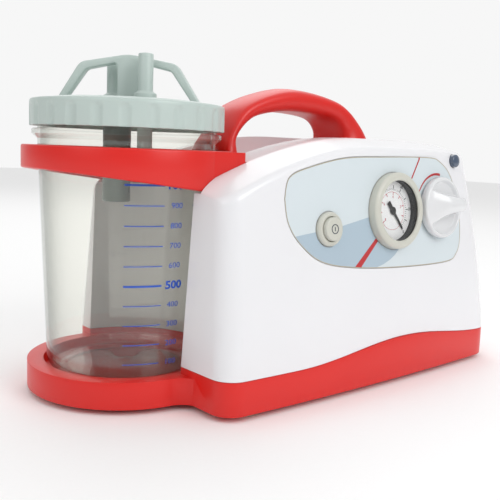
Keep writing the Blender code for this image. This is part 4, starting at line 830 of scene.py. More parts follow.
# ---- Power button
# A push button in cream ABS that slides in a round bezel, with the usual ring and bar mark pressed in and filled
# dark.
cream_abs = moulding("moulded cream ABS", "#CBCBC1", "#C5C5BA", 0.32)
mark_ink = moulding("filled mark", "#27344A", "#222E42", 0.5)
BUTTON_R, SLIDE_GAP = 0.0076, 0.0004
bore = BUTTON_R + SLIDE_GAP
button_seat = -LABEL_RECESS + GAP
bezel_line = rounded([(bore, -0.014, 0), (BUTTON_BARREL_R, -0.014, 0), (BUTTON_BARREL_R, button_seat, 0),
                      (BUTTON_BEZEL_R, button_seat, 0), (BUTTON_BEZEL_R, 0.0016, 0.0010),
                      (BUTTON_BEZEL_R - 0.0014, 0.0030, 0.0010),
                      (bore, 0.0030, 0.0005)], 4, closed=True)
put_turned("button_surround", bezel_line, cream_abs, BUTTON_PLACE, "chassis", "cream_abs", "button_bezel")
cap_line = rounded([(0, -0.009, 0), (0.003, -0.009, 0), (0.003, -0.004, 0), (BUTTON_R, -0.004, 0),
                    (BUTTON_R, 0.0055, 0.0012),
                    (0, 0.0057, 0)], 5)
put_turned("power_button_cap", cap_line, cream_abs, BUTTON_PLACE, "button", "cream_abs", "power_button", 96)
mark_line = [(0.0026, 0.0054), (0.0031, 0.0054), (0.0031, 0.00578), (0.0026, 0.00578)]
mark = to_object("button_mark", spun(mark_line, 48), mark_ink, BUTTON_PLACE)
bar = to_object("bar", block((-0.0003, -0.0013, 0.0054), (0.0003, 0.0013, 0.00578)), place=BUTTON_PLACE)
combine(mark, bar, "UNION")
put(shade(mark), "button", "black_plastic")


# ---- Vacuum gauge
# A round dial gauge: a wide cream bezel, a black case whose deep wall shows round the dial, a flat clear lens, and a
# black needle with a broad tail. The dial has a black outer scale and a red inner one, in plain numbers.
black_case = moulding("moulded black plastic", "#0B1116", "#0E151B", 0.5)
dial_paint = moulding("white dial enamel", "#FCFCFC", "#FAFAFA", 0.55)
dial_black = moulding("black dial print", "#1C1E22", "#1C1E22", 0.6)
dial_red = moulding("red dial print", "#C4384A", "#C4384A", 0.6)
needle_black = moulding("black lacquered needle", "#0E0F10", "#121314", 0.35)
LIP, POCKET, CASE_DEPTH, CASE_WALL = 0.003, -0.0025, 0.024, 0.0013
case_line = rounded([(0, -CASE_DEPTH, 0), (GAUGE_CASE_R, -CASE_DEPTH, 0.001), (GAUGE_CASE_R, LIP, 0),
                     (GAUGE_CASE_R - CASE_WALL, LIP, 0.0003), (GAUGE_CASE_R - CASE_WALL, POCKET, 0), (0, POCKET, 0)], 4)
put_turned("gauge_body", case_line, black_case, GAUGE_PLACE, "chassis", "black_plastic", "gauge_case")
dial_r = GAUGE_CASE_R - CASE_WALL - GAP
dial_low, dial_top = POCKET + GAP, POCKET + GAP + 0.0006
dial_line = [(0.0012, dial_low), (dial_r, dial_low), (dial_r, dial_top), (0.0012, dial_top)]
put_turned("gauge_dial_plate", dial_line, dial_paint, GAUGE_PLACE, "chassis", "dial_white", "gauge_dial")


def see_through(name, middle, rim, roughness, head_on=0.04):
    """A clear wall: its tint deepens and its shine grows from a head-on share towards a glancing view."""
    material, tree, shader = new_material(name)
    facing = add_node(tree, "ShaderNodeLayerWeight", {"Blend": 0.5}).outputs["Facing"]
    tint = blended(tree, middle, rim, maths(tree, "POWER", facing, 3.0))
    clear = add_node(tree, "ShaderNodeBsdfTransparent", links={"Color": tint})
    shine = maths(tree, "MULTIPLY_ADD", maths(tree, "POWER", facing, 5.0), 1.0 - head_on, head_on)
    shader.inputs["Base Color"].default_value = linear("#FFFFFF")
    shader.inputs["Metallic"].default_value = 1.0
    shader.inputs["Roughness"].default_value = roughness
    seen = add_node(tree, "ShaderNodeMixShader", links={0: shine, 1: clear.outputs[0], 2: shader.outputs[0]})
    tree.links.new(seen.outputs[0], tree.nodes["Material Output"].inputs["Surface"])
    return material


clear_acrylic = see_through("clear acrylic lens", "#FFFFFF", "#E6E8E8", 0.03)
window = [(0, LIP + GAP), (GAUGE_CASE_R, LIP + GAP), (GAUGE_CASE_R, LIP + GAP + 0.0012), (0, LIP + GAP + 0.0012)]
put_turned("gauge_window", window, clear_acrylic, GAUGE_PLACE, "chassis", "clear_lens", "gauge_lens")
inner = GAUGE_CASE_R + GAP
step = LIP + 2 * GAP + 0.0012
bezel_line = rounded([(inner, button_seat, 0), (GAUGE_BEZEL_R, button_seat, 0), (GAUGE_BEZEL_R, 0.0050, 0.0018),
                      (GAUGE_BEZEL_R - 0.0020, 0.0064, 0.0022), (inner - 0.0016, 0.0062, 0.0010),
                      (inner - 0.0020, 0.0052, 0.0003),
                      (inner - 0.0020, step, 0), (inner, step, 0)], 5, closed=True)
put_turned("gauge_surround", bezel_line, cream_abs, GAUGE_PLACE, "chassis", "cream_abs", "gauge_bezel")


def geometry_tree(name, **sockets):
    """An empty Geometry Nodes tree with an input for each kind of socket's labels, and the outputs that carry its inputs."""
    tree = bpy.data.node_groups.new(name, "GeometryNodeTree")
    tree.interface.new_socket("Geometry", in_out="OUTPUT", socket_type="NodeSocketGeometry")
    for kind, labels in sockets.items():
        for label in labels:
            tree.interface.new_socket(label, in_out="INPUT", socket_type="NodeSocket" + kind)
    return tree, tree.nodes.new("NodeGroupInput").outputs


def finish_tree(tree, geometry, material):
    """Makes a tree's copies real, gives them one material and sends them to its output."""
    real = add_node(tree, "GeometryNodeRealizeInstances", links={"Geometry": geometry})
    coloured = add_node(tree, "GeometryNodeSetMaterial", links={"Geometry": real.outputs[0], "Material": material})
    tree.links.new(coloured.outputs[0], tree.nodes.new("NodeGroupOutput").inputs[0])
    return tree


def run_tree(holder, tree, values):
    """Runs a Geometry Nodes tree with these named inputs on an object and bakes the result into its mesh."""
    modifier = holder.modifiers.new(tree.name, "NODES")
    modifier.node_group = tree
    for socket in tree.interface.items_tree:
        if socket.in_out == "INPUT" and socket.name in values:
            modifier[socket.identifier] = values[socket.name]
    return apply_modifiers(holder)


def on_circle(tree, angle, radius):
    """The x and y outputs of a point on a circle."""
    return [maths(tree, "MULTIPLY", maths(tree, turn, angle), radius) for turn in ("COSINE", "SINE")]


def tick_ring(name):
    """A Geometry Nodes tree that sets thin bars round part of a circle."""
    tree, sizes = geometry_tree(name, Int=["Count"], Float=["Radius", "Sweep Start", "Sweep", "Bar Length", "Bar Width",
                                                            "Bar Height"], Material=["Ink"])
    points = add_node(tree, "GeometryNodePoints", links={"Count": sizes["Count"]})
    index = add_node(tree, "GeometryNodeInputIndex")
    share = maths(tree, "DIVIDE", index.outputs[0], maths(tree, "SUBTRACT", sizes["Count"], 1.0))
    angle = maths(tree, "MULTIPLY_ADD", share, sizes["Sweep"], sizes["Sweep Start"])
    x, y = on_circle(tree, angle, sizes["Radius"])
    spot = add_node(tree, "ShaderNodeCombineXYZ", links={"X": x, "Y": y})
    placed = add_node(tree, "GeometryNodeSetPosition", links={"Geometry": points.outputs[0],
                                                              "Position": spot.outputs[0]})
    size = add_node(tree, "ShaderNodeCombineXYZ", links={"X": sizes["Bar Length"], "Y": sizes["Bar Width"],
                                                         "Z": sizes["Bar Height"]})
    bar = add_node(tree, "GeometryNodeMeshCube", links={"Size": size.outputs[0]})
    turn = add_node(tree, "ShaderNodeCombineXYZ", links={"Z": angle})
    bars = add_node(tree, "GeometryNodeInstanceOnPoints",
                    links={"Points": placed.outputs[0], "Instance": bar.outputs[0], "Rotation": turn.outputs[0]})
    return finish_tree(tree, bars.outputs[0], sizes["Ink"])


def grown(name, tree, values, place=None):
    """Runs a Geometry Nodes tree with these named inputs and keeps the result as a plain mesh, placed by a matrix."""
    holder = bpy.data.objects.new(name, bpy.data.meshes.new(name))
    bpy.context.scene.collection.objects.link(holder)
    run_tree(holder, tree, values)
    if place:
        holder.data.transform(place)
    return holder


ticks = tick_ring("dial tick ring")
SCALE_START, SCALE_SWEEP = math.radians(-52), math.radians(270)
for name, count, radius, length, width, ink in (("dial_ticks_major", 11, 0.0166, 0.0024, 0.00055, dial_black),
                                                ("dial_ticks_minor", 51, 0.0150, 0.0013, 0.00026, dial_black),
                                                ("dial_ticks_red", 9, 0.0120, 0.0020, 0.00060, dial_red)):
    made = grown(name, ticks, {"Count": count, "Radius": radius, "Sweep Start": SCALE_START, "Sweep": SCALE_SWEEP,
                               "Bar Length": length, "Bar Width": width, "Bar Height": 0.0001, "Ink": ink},
                 GAUGE_PLACE @ Matrix.Translation((0, 0, dial_top)))
    put(made, "chassis", "dial_white")
scale_line = [(0.01300, dial_top - 0.00005), (0.01322, dial_top - 0.00005), (0.01322, dial_top + 0.00005),
              (0.01300, dial_top + 0.00005)]
put(to_object("dial_scale_line", spun(scale_line), dial_red, GAUGE_PLACE), "chassis", "dial_white")


def written(name, text, size, material, place, depth=0.00006, weight=0.0):
    """A number as a thin raised mesh, centred on its place. weight makes its strokes wider."""
    curve = bpy.data.curves.new(name, "FONT")
    curve.body = text
    curve.size = size
    curve.align_x = "CENTER"
    curve.align_y = "CENTER"
    curve.extrude = depth
    curve.offset = weight
    curve.resolution_u = 3
    holder = bpy.data.objects.new(name, curve)
    bpy.context.scene.collection.objects.link(holder)
    bpy.context.view_layer.update()
    graph = bpy.context.evaluated_depsgraph_get()
    mesh = bpy.data.meshes.new_from_object(holder.evaluated_get(graph))
    bpy.data.objects.remove(holder)
    made = bpy.data.objects.new(name, mesh)
    bpy.context.scene.collection.objects.link(made)
    made.data.transform(place)
    made.data.materials.clear()
    made.data.materials.append(material)
    return made


for i in range(6):
    angle = SCALE_START + SCALE_SWEEP * i / 5
    spot = Matrix.Translation((0.0193 * math.cos(angle), 0.0193 * math.sin(angle), dial_top + 0.00003))
    put(written(f"dial_number_{i}", str(20 * i), 0.0030, dial_black, GAUGE_PLACE @ spot), "chassis", "dial_white")
for i in range(1, 5):
    angle = SCALE_START + SCALE_SWEEP * i / 4
    spot = Matrix.Translation((0.0096 * math.cos(angle), 0.0096 * math.sin(angle), dial_top + 0.00003))
    put(written(f"dial_red_number_{i}", str(2 * i), 0.0028, dial_red, GAUGE_PLACE @ spot), "chassis", "dial_white")
NEEDLE_REST = math.radians(-52)
needle_low = POCKET + 2 * GAP + 0.0008
hub_line = [(0, dial_low + 0.0001), (0.0008, dial_low + 0.0001), (0.0008, needle_low), (0.0028, needle_low),
            (0.0028, needle_low + 0.0007), (0.0023, needle_low + 0.0010), (0, needle_low + 0.0010)]
needle = to_object("needle", spun(hub_line, 48), needle_black, GAUGE_PLACE)
pointer = prism([(-0.0075, -0.0016), (-0.0075, 0.0016), (-0.0015, 0.0012), (0.0030, 0.0009), (0.0145, 0.0006),
                 (0.0165, 0.0),
                 (0.0145, -0.0006), (0.0030, -0.0009), (-0.0015, -0.0012)], needle_low + 0.0002, needle_low + 0.0007)
join(needle, pointer, GAUGE_PLACE @ Matrix.Rotation(NEEDLE_REST, 4, "Z"))
put(shade(needle), "needle", "black_plastic", "gauge_needle")


# ---- Vacuum regulator knob
# A round drum in white ABS on a spindle, hollowed above and below so that a thick wing is left across it to grip. The
# mould is highly polished.
knob_abs = moulding("polished white knob ABS", "#DFE0E1", "#DADBDD", 0.16, coat=0.4)
KNOB_R, KNOB_LOW, KNOB_RIM, SPINDLE_END = 0.0222, 0.0010, 0.0065, -0.018
KNOB_RINGS, KNOB_STEPS, KNOB_HOLLOW = 60, 180, 0.0040
WING_TOP = [(-22, 15), (-15, 12), (-8, 9.2), (-1, 7.4), (8, 6.2), (22, 5.0)]
WING_FOOT = [(-22, -13), (-15, -10.5), (-8, -6.6), (-1, -4.2), (8, -3.0), (22, -2.0)]
WING_CREST = [(-22, 6.4), (-15, 8.0), (-8, 11.5), (-1, 14.4), (7, 16.0), (13, 15.9), (16.5, 14.0), (18.5, 6.4),
              (22, 4.0)]


def between(stops, at):
    """The value of a smooth curve through (along, value) stops, all in millimetres."""
    line = smooth_curve(stops, 6)
    for start, end in zip(line, line[1:]):
        if at <= end.x:
            return start.y + (end.y - start.y) * max(at - start.x, 0.0) / (end.x - start.x)
    return line[-1].y


def knob_height(x, y):
    """The knob's front: a round rim, a hollow above and below, and a wing that grows from the left rim to a tip."""
    along, up = 1000 * x, 1000 * y
    r = math.hypot(x, y)
    top, foot_line = between(WING_TOP, along), between(WING_FOOT, along)
    off = max(up - top, foot_line - up, 0.0) / 1.7
    crown = 0.9 * ((2 * up - top - foot_line) / (top - foot_line)) ** 2
    rise = min(max((r - 0.0178) / 0.0026, 0.0), 1.0)
    floor_of = KNOB_HOLLOW + (KNOB_RIM - KNOB_HOLLOW) * rise * rise * (3 - 2 * rise)
    crest = max(between(WING_CREST, along) - min(crown, 0.9), 0.0) / 1000
    return floor_of + max(crest - floor_of, 0.0) * math.exp(-off ** 2)


def knob_ring(radius, height=None):
    """A ring of the knob's vertices, at one height or on its front."""
    ring = []
    for k in range(KNOB_STEPS):
        x, y = (radius * turn(2 * math.pi * k / KNOB_STEPS) for turn in (math.cos, math.sin))
        ring.append(knob_shape.verts.new((x, y, knob_height(x, y) if height is None else height)))
    return ring


knob_shape = bmesh.new()
knob_rings = [[knob_shape.verts.new((0, 0, knob_height(0, 0)))]]
knob_rings += [knob_ring((KNOB_R - 0.0012) * i / KNOB_RINGS) for i in range(1, KNOB_RINGS + 1)]
for r, z in ((KNOB_R - 0.0008, KNOB_RIM - 0.0001), (KNOB_R - 0.0003, KNOB_RIM - 0.0006), (KNOB_R, KNOB_RIM - 0.0014),
             (KNOB_R, KNOB_LOW + 0.0004), (KNOB_R - 0.0004, KNOB_LOW), (SPINDLE_R, KNOB_LOW), (SPINDLE_R, SPINDLE_END)):
    knob_rings.append(knob_ring(r, z))
knob_rings.append([knob_shape.verts.new((0, 0, SPINDLE_END))])
bridged(knob_shape, zip(knob_rings, knob_rings[1:]))
put(shade(to_object("regulator_knob", knob_shape, knob_abs, KNOB_PLACE), 50), "knob", "white_abs", "vacuum_knob")


# ---- Charge lamp
# A small domed lens in smoked acrylic, pressed into the front face near its top right end.
smoked = moulding("polished smoked acrylic", "#4A5A70", "#3E4C60", 0.10, coat=0.6)
lens_line = rounded([(0, -0.006, 0), (LENS_R, -0.006, 0.0006), (LENS_R, 0.0010, 0.0010), (0, 0.0024, 0)], 5)
put_turned("charge_lamp", lens_line, smoked, LENS_PLACE, "chassis", "smoked_lens", "indicator_lens", 64)


# ---- Feet and base screws
# Four beige rubber feet pressed into sockets, and four zinc-plated pan-head screws with a cross recess that hold the
# shells.
def laid_out(name):
    """A Geometry Nodes tree that sets a copy of one object on each point of the mesh that it runs on."""
    tree, given = geometry_tree(name, Geometry=["Geometry"], Object=["Part"], Material=["Finish"])
    part = add_node(tree, "GeometryNodeObjectInfo", links={"Object": given["Part"]})
    copies = add_node(tree, "GeometryNodeInstanceOnPoints",
                      links={"Points": given["Geometry"], "Instance": part.outputs["Geometry"]})
    return finish_tree(tree, copies.outputs[0], given["Finish"])


def set_out(name, part, places, finish):
    """Copies one part to a list of places and keeps the copies as one mesh."""
    holder = bpy.data.objects.new(name, bpy.data.meshes.new(name))
    holder.data.from_pydata([tuple(place) for place in places], [], [])
    bpy.context.scene.collection.objects.link(holder)
    run_tree(holder, laid_out(name), {"Part": part, "Finish": finish})
    bpy.data.objects.remove(part)
    return holder


def metal(name, colour, shade, roughness, grain_mm, along=(1.0, 1.0, 1.0)):
    """A bare or plated metal whose fine tool marks run along the axis with the smallest factor."""
    material, tree, shader = new_material(name)
    marks = add_node(tree, "ShaderNodeMapping", {"Scale": along}, {"Vector": object_coordinates(tree)})
    grain = add_node(tree, "ShaderNodeTexNoise", {"Scale": 1000.0 / grain_mm, "Detail": 3.0},
                     {"Vector": marks.outputs[0]})
    relief = add_node(tree, "ShaderNodeBump", {"Strength": 0.3, "Distance": 0.00002}, {"Height": grain.outputs["Fac"]})
    tree.links.new(blended(tree, colour, shade, grain.outputs["Fac"]), shader.inputs["Base Color"])
    tree.links.new(ranged(tree, grain.outputs["Fac"], roughness - 0.08, roughness + 0.08), shader.inputs["Roughness"])
    tree.links.new(relief.outputs["Normal"], shader.inputs["Normal"])
    shader.inputs["Metallic"].default_value = 1.0
    return material


beige_rubber = moulding("moulded beige rubber", "#C2B497", "#B5A78B", 0.75, grain_mm=0.4)
zinc = metal("zinc plated steel", "#B9BCC2", "#A9ADB4", 0.30, 0.6)
FOOT_R, FOOT_TOP, SCREW_HEAD_R, SCREW_R = 0.008, TRAY_BOTTOM + 0.0012, 0.0035, 0.0015
foot_line = rounded([(0, 0.0006, 0), (0.0035, 0.0006, 0.0003), (0.0042, 0, 0.0003), (FOOT_R, 0, 0.0010),
                     (FOOT_R, FOOT_TOP, 0), (0, FOOT_TOP, 0)], 4)
foot = shade(to_object("foot", spun(foot_line, 64)))
foot_places = [((low + high) / 2 * Vector((1, 1, 0))) for low, high in feet.values()]
put(set_out("rubber_feet", foot, foot_places, beige_rubber), "chassis", "beige_rubber",
    *["foot_" + name for name in feet])
head_top = TRAY_BOTTOM - GAP
head_low, tip = head_top - 0.0020, list(screws.values())[0][1].z
screw_line = rounded([(0, head_low, 0), (SCREW_HEAD_R, head_low, 0.0010), (SCREW_HEAD_R, head_top, 0),
                      (SCREW_R, head_top, 0),
                      (SCREW_R, tip - 0.001, 0.0002), (0, tip, 0)], 3)
screw = to_object("screw", spun(screw_line, 32))
for turn in (0, math.pi / 2):
    cut(screw, block((-0.0018, -0.00035, 0), (0.0018, 0.00035, head_low + 0.0011)), Matrix.Rotation(turn, 4, "Z"))
screw_places = [((low + high) / 2 * Vector((1, 1, 0))) for low, high in screws.values()]
put(set_out("base_screws", shade(screw), screw_places, zinc), "chassis", "plated_steel",
    *["screw_" + name for name in screws])


# ---- Collection jar
# A one-litre cup moulded in clear polycarbonate, with a foot ring, the dimple left by its gate, a stout flange that
# rests on the jar ring and a plain neck. A blue scale of its contents is printed round the outside.
JAR_WALL, JAR_FLOOR, JAR_CORNER, JAR_BOTTOM_R = 0.0018, POCKET_FLOOR + GAP, 0.011, 0.0413
JAR_LOW_R, JAR_HIGH_R, JAR_FOOT_R, JAR_FOOT_RISE = 0.0509, 0.0555, 0.0375, 0.0020
FLANGE_R, FLANGE_Z, FLANGE_THICK, NECK_R, JAR_RIM = 0.0602, 0.164, 0.003, 0.0566, 0.181


def jar_radius(z):
    """The jar's outside radius on its drawn side."""
    low = POCKET_FLOOR + JAR_CORNER
    return JAR_LOW_R + (JAR_HIGH_R - JAR_LOW_R) * (z - low) / (RING_LOW - low)


under_flange, raised = FLANGE_Z - 0.003, JAR_FLOOR + JAR_FOOT_RISE
corner_z = JAR_FLOOR + JAR_CORNER
jar_outside = rounded([(0, raised, 0), (JAR_FOOT_R, raised, 0.0008),
                       (JAR_FOOT_R + JAR_FOOT_RISE / 2, JAR_FLOOR, 0.0005),
                       (JAR_BOTTOM_R, JAR_FLOOR, 0)], 3)
jar_outside += [Vector((JAR_BOTTOM_R + (JAR_LOW_R - JAR_BOTTOM_R) * math.sin(a), corner_z - JAR_CORNER * math.cos(a)))
                for a in (math.pi / 2 * i / 12 for i in range(1, 12))]
jar_outside += rounded([(JAR_LOW_R, corner_z, 0), (jar_radius(under_flange), under_flange, 0.0010),
                        (FLANGE_R, FLANGE_Z, 0.0008),
                        (FLANGE_R, FLANGE_Z + FLANGE_THICK, 0.0008), (NECK_R, FLANGE_Z + FLANGE_THICK, 0.0006),
                        (NECK_R, JAR_RIM, 0.0006),
                        (NECK_R - JAR_WALL, JAR_RIM, 0.0006), (jar_radius(under_flange) - JAR_WALL, under_flange,
                                                               0.004),
                        (JAR_LOW_R - JAR_WALL, corner_z, 0)], 5)
inner_floor = raised + JAR_WALL
jar_inside = [Vector((JAR_BOTTOM_R + (JAR_LOW_R - JAR_WALL - JAR_BOTTOM_R) * math.sin(a),
                      corner_z - (corner_z - inner_floor) * math.cos(a)))
              for a in (math.pi / 2 * (12 - i) / 12 for i in range(1, 13))]
GATE_R, GATE_RISE = 0.0042, 0.0011
jar_inside += [Vector((r, inner_floor + GATE_RISE * h)) for r,
               h in ((GATE_R + 0.0012, 0), (GATE_R + 0.0005, 0.12), (GATE_R, 0.6), (GATE_R - 0.0008, 0.95),
                                                                   (GATE_R - 0.0018, 1.0), (0.0012, 0.55), (0, 0.4))]
clear_jar = see_through("clear moulded polycarbonate", "#FEFEFC", "#BFC3BE", 0.03, 0.045)
jar = to_object("collection_jar", spun(jar_outside + jar_inside, 160), clear_jar, from_axis())
put(shade(jar, 40), "jar", "clear_jar", "suction_jar")

jar_ink = moulding("blue screen print", "#2358C4", "#1F50B8", 0.45, grain_mm=0.3, edge=0.0001)
VOLUME_Z, VOLUME_PITCH, PRINT_RISE = 0.0275, 0.01204, 0.00005


def graduation(name):
    """A Geometry Nodes tree that prints level lines up a slightly conical wall."""
    tree, given = geometry_tree(name, Int=["Count"], Float=["First Height", "Pitch", "Middle Angle", "Sweep",
                                                            "Line Height",
                                                            "Radius at Foot", "Draft", "Print Rise"], Material=["Ink"])
    index = add_node(tree, "GeometryNodeInputIndex")
    height = maths(tree, "MULTIPLY_ADD", index.outputs[0], given["Pitch"], given["First Height"])
    spot = add_node(tree, "ShaderNodeCombineXYZ", links={"Z": height})
    points = add_node(tree, "GeometryNodePoints", links={"Count": given["Count"], "Position": spot.outputs[0]})
    size = add_node(tree, "ShaderNodeCombineXYZ", links={"X": given["Sweep"], "Y": given["Print Rise"],
                                                         "Z": given["Line Height"]})
    strip = add_node(tree, "GeometryNodeMeshCube", {"Vertices X": 25}, {"Size": size.outputs[0]})
    lines = add_node(tree, "GeometryNodeInstanceOnPoints", links={"Points": points.outputs[0],
                                                                  "Instance": strip.outputs[0]})
    real = add_node(tree, "GeometryNodeRealizeInstances", links={"Geometry": lines.outputs[0]})
    flat = add_node(tree, "ShaderNodeSeparateXYZ", links={0: add_node(tree, "GeometryNodeInputPosition").outputs[0]})
    wall = maths(tree, "MULTIPLY_ADD", flat.outputs["Z"], given["Draft"], given["Radius at Foot"])
    x, y = on_circle(tree, maths(tree, "ADD", flat.outputs["X"], given["Middle Angle"]),
                     maths(tree, "SUBTRACT", wall, flat.outputs["Y"]))
    wrapped = add_node(tree, "ShaderNodeCombineXYZ", links={"X": x, "Y": y, "Z": flat.outputs["Z"]})
    bent = add_node(tree, "GeometryNodeSetPosition", links={"Geometry": real.outputs[0],
                                                            "Position": wrapped.outputs[0]})
    return finish_tree(tree, bent.outputs[0], given["Ink"])


scale = graduation("volume graduation")
draft = (JAR_HIGH_R - JAR_LOW_R) / (RING_LOW - POCKET_FLOOR - JAR_CORNER)
for name, count, first, pitch, start, end, thick in (
        ("volume_lines_low", 4, 0, 1, -120, -95, 0.00055), ("volume_line_half", 1, 4, 1, -120, -95, 0.0012),
        ("volume_lines_high", 4, 5, 1, -120, -95, 0.00055), ("volume_line_full", 1, 9, 1, -120, -95, 0.0012),
        ("volume_ticks", 10, 0, 1, -73, -61, 0.0005), ("volume_half_ticks", 10, 0.5, 1, -67, -62, 0.0004)):
    made = grown(name, scale, {"Count": count, "First Height": VOLUME_Z + first * VOLUME_PITCH,
                               "Pitch": pitch * VOLUME_PITCH,
                               "Middle Angle": math.radians((start + end) / 2), "Sweep": math.radians(end - start),
                               "Line Height": thick, "Radius at Foot": jar_radius(0) + PRINT_RISE, "Draft": draft,
                               "Print Rise": PRINT_RISE, "Ink": jar_ink}, from_axis())
    put(made, "jar", "clear_jar")
NUMBER_ANGLE, NUMBER_STRETCH = math.radians(-86), 1.15
for i in range(1, 11):
    z = VOLUME_Z + VOLUME_PITCH * (i - 1)
    made = written(f"volume_number_{i}", str(100 * i), 0.0068 if i in (5, 10) else 0.0048, jar_ink, Matrix.Identity(4),
                   weight=0.00022 if i in (5, 10) else 0.0)
    for vertex in made.data.vertices:
        across, up, rise = vertex.co
        across *= NUMBER_STRETCH
        r = jar_radius(z + up) + PRINT_RISE + rise
        angle = NUMBER_ANGLE + across / jar_radius(z)
        vertex.co = (JAR_X + r * math.cos(angle), JAR_Y + r * math.sin(angle), z + up)
    put(made, "jar", "clear_jar")


# ---- Jar lid
# A screw lid moulded in grey-green polypropylene: a skirt with 24 round-ended flutes, a shallow crown, two hose ports
# and a gabled strap to carry it by, all one piece. One port goes on below as a stub.
LID_LOW, LID_HIGH, LID_CROWN_R, LID_CROWN_Z, LID_TOP_WALL, LID_R = 0.1687, 0.1852, 0.050, 0.189, 0.0024, 0.0614
FLUTES, FLUTE_DEPTH, FLUTE_HALF, FLUTE_TOP = 24, 0.0011, 0.0033, 0.0062
GASKET_THICK = 0.0014
ARCH_TURN, ARCH_FOOT, ARCH_SHOULDER, ARCH_SHOULDER_Z, ARCH_TOP = math.radians(-40), 0.047, 0.031, 0.210, 0.2155
ARCH_WIDTH, ARCH_THICK, ARCH_WEB = 0.009, 0.0045, 0.014
PORT_R, PORT_BORE, PORT_FLANGE_R, PORT_TOP, PORT_ALONG, PORT_ACROSS, STUB = 0.0047, 0.003, 0.007, 0.215, 0.013, 0.0135, 0.030
lid_plastic = moulding("moulded grey-green polypropylene", "#BECBC6", "#B8C6C1", 0.34, grain_mm=1.0)


def fluted(r, z, angle):
    """Draws the skirt in at each flute, which ends in a half round near the top."""
    if r < LID_R - 0.0001 or z > LID_HIGH:
        return r
    pitch = 2 * math.pi / FLUTES
    off = abs((angle + pitch / 2) % pitch - pitch / 2) * LID_R
    reach = math.hypot(off, max(z - LID_HIGH + FLUTE_TOP, 0.0)) / FLUTE_HALF
    return r - FLUTE_DEPTH * max(1 - reach ** 2, 0.0) ** 0.7


def arch_place(along, across_it):
    """A place on the lid, along and across its strap, as a turn about the jar's axis and a shift."""
    return from_axis() @ Matrix.Rotation(ARCH_TURN, 4, "Z") @ Matrix.Translation((along, across_it, 0))


under = JAR_RIM + 2 * GAP + GASKET_THICK
lid_inner = NECK_R + SLIDE_GAP
skirt_top = LID_HIGH - 0.0018
lid_line = rounded([(0, LID_CROWN_Z - LID_TOP_WALL, 0), (LID_CROWN_R - 0.004, under + 0.001, 0.002),
                    (LID_CROWN_R - 0.002, under, 0.001),
                    (lid_inner, under, 0), (lid_inner, LID_LOW, 0), (LID_R - 0.0003, LID_LOW, 0)], 3)
lid_line += [Vector((LID_R, LID_LOW + 0.0003 + (skirt_top - LID_LOW - 0.0003) * i / 16)) for i in range(17)]
lid_line += rounded([(LID_R, skirt_top, 0), (LID_R - 0.0004, LID_HIGH - 0.0004, 0.0012),
                     (LID_R - 0.0022, LID_HIGH, 0.0010),
                     (LID_CROWN_R + 0.002, LID_HIGH, 0.0005), (LID_CROWN_R, LID_HIGH + 0.0012, 0.002),
                     (0, LID_CROWN_Z, 0)], 4)[1:]
lid = to_object("screw_lid", spun(lid_line, 24 * 18, fluted), lid_plastic, from_axis())
stand = LID_HIGH - 0.0005
outer = rounded([(-ARCH_FOOT, stand, 0), (-ARCH_SHOULDER, ARCH_SHOULDER_Z, 0.008), (0, ARCH_TOP, 0.03),
                 (ARCH_SHOULDER, ARCH_SHOULDER_Z, 0.008), (ARCH_FOOT, stand, 0)], 8)
side, shoulder, shoulder_z = ARCH_FOOT - ARCH_THICK * 1.15, ARCH_SHOULDER - ARCH_THICK * 0.85, ARCH_SHOULDER_Z - ARCH_THICK
web, web_z = ARCH_WEB / 2, ARCH_TOP - ARCH_THICK - 0.001
inner_line = rounded([(side, stand, 0), (shoulder, shoulder_z, 0.005), (web, web_z, 0.002), (web, stand, 0)], 5)
inner_line += [Vector((-x, z)) for x, z in reversed(inner_line)]
strap = to_object("strap", prism([tuple(point) for point in [*outer, *inner_line]], -ARCH_WIDTH / 2, ARCH_WIDTH / 2),
                  place=arch_place(0, 0) @ Matrix.Rotation(math.pi / 2, 4, "X"))
soften(strap, 0.0011, 3, 60)
combine(lid, strap, "UNION")
port_line = rounded([(0, stand, 0), (PORT_FLANGE_R, stand, 0), (PORT_FLANGE_R, LID_CROWN_Z + 0.0015, 0.0006),
                     (PORT_R, LID_CROWN_Z + 0.003, 0.0014),
                     (PORT_R, PORT_TOP, 0.0010), (0, PORT_TOP, 0)], 4)
for turn in (1, -1):
    join(lid, spun(port_line, 64), arch_place(turn * PORT_ALONG, -turn * PORT_ACROSS))
join(lid, disc(PORT_R, under - STUB, stand + 0.001, 48), arch_place(PORT_ALONG, -PORT_ACROSS))
for turn in (1, -1):
    cut(lid, disc(PORT_BORE, 0, 2 * PORT_TOP, 48), arch_place(turn * PORT_ALONG, -turn * PORT_ACROSS))
put(shade(lid, 32), "lid", "lid_plastic", "jar_lid")


# ---- Gasket, float cage and float
# A soft rubber gasket in the lid, and a slotted polypropylene cage below it that holds the float which shuts the
# suction port.
gasket_rubber = moulding("moulded beige silicone rubber", "#C9BEA4", "#BFB498", 0.6, grain_mm=0.4)
gasket_line = [(NECK_R - JAR_WALL, JAR_RIM + GAP), (NECK_R, JAR_RIM + GAP), (NECK_R, JAR_RIM + GAP + GASKET_THICK),
               (NECK_R - JAR_WALL, JAR_RIM + GAP + GASKET_THICK)]
put_turned("gasket_ring", gasket_line, gasket_rubber, from_axis(), "lid_seal", "beige_rubber", "lid_gasket")
CAGE_R, CAGE_WALL, CAGE_LOW, CAGE_WINDOW, FLOAT_R, FLOAT_LENGTH, FLOAT_TRAVEL = 0.009, 0.0012, 0.122, 0.007, 0.0068, 0.026, 0.012
CAGE_PLACE = arch_place(-0.008, 0.002)
cage_plastic = moulding("moulded smoke polypropylene", "#66736C", "#5B6861", 0.36)
cage_top, cage_bore, cage_lip = JAR_RIM + GASKET_THICK, CAGE_R - CAGE_WALL, CAGE_LOW + 0.002
cage_roof = cage_lip + FLOAT_LENGTH + FLOAT_TRAVEL + 0.004
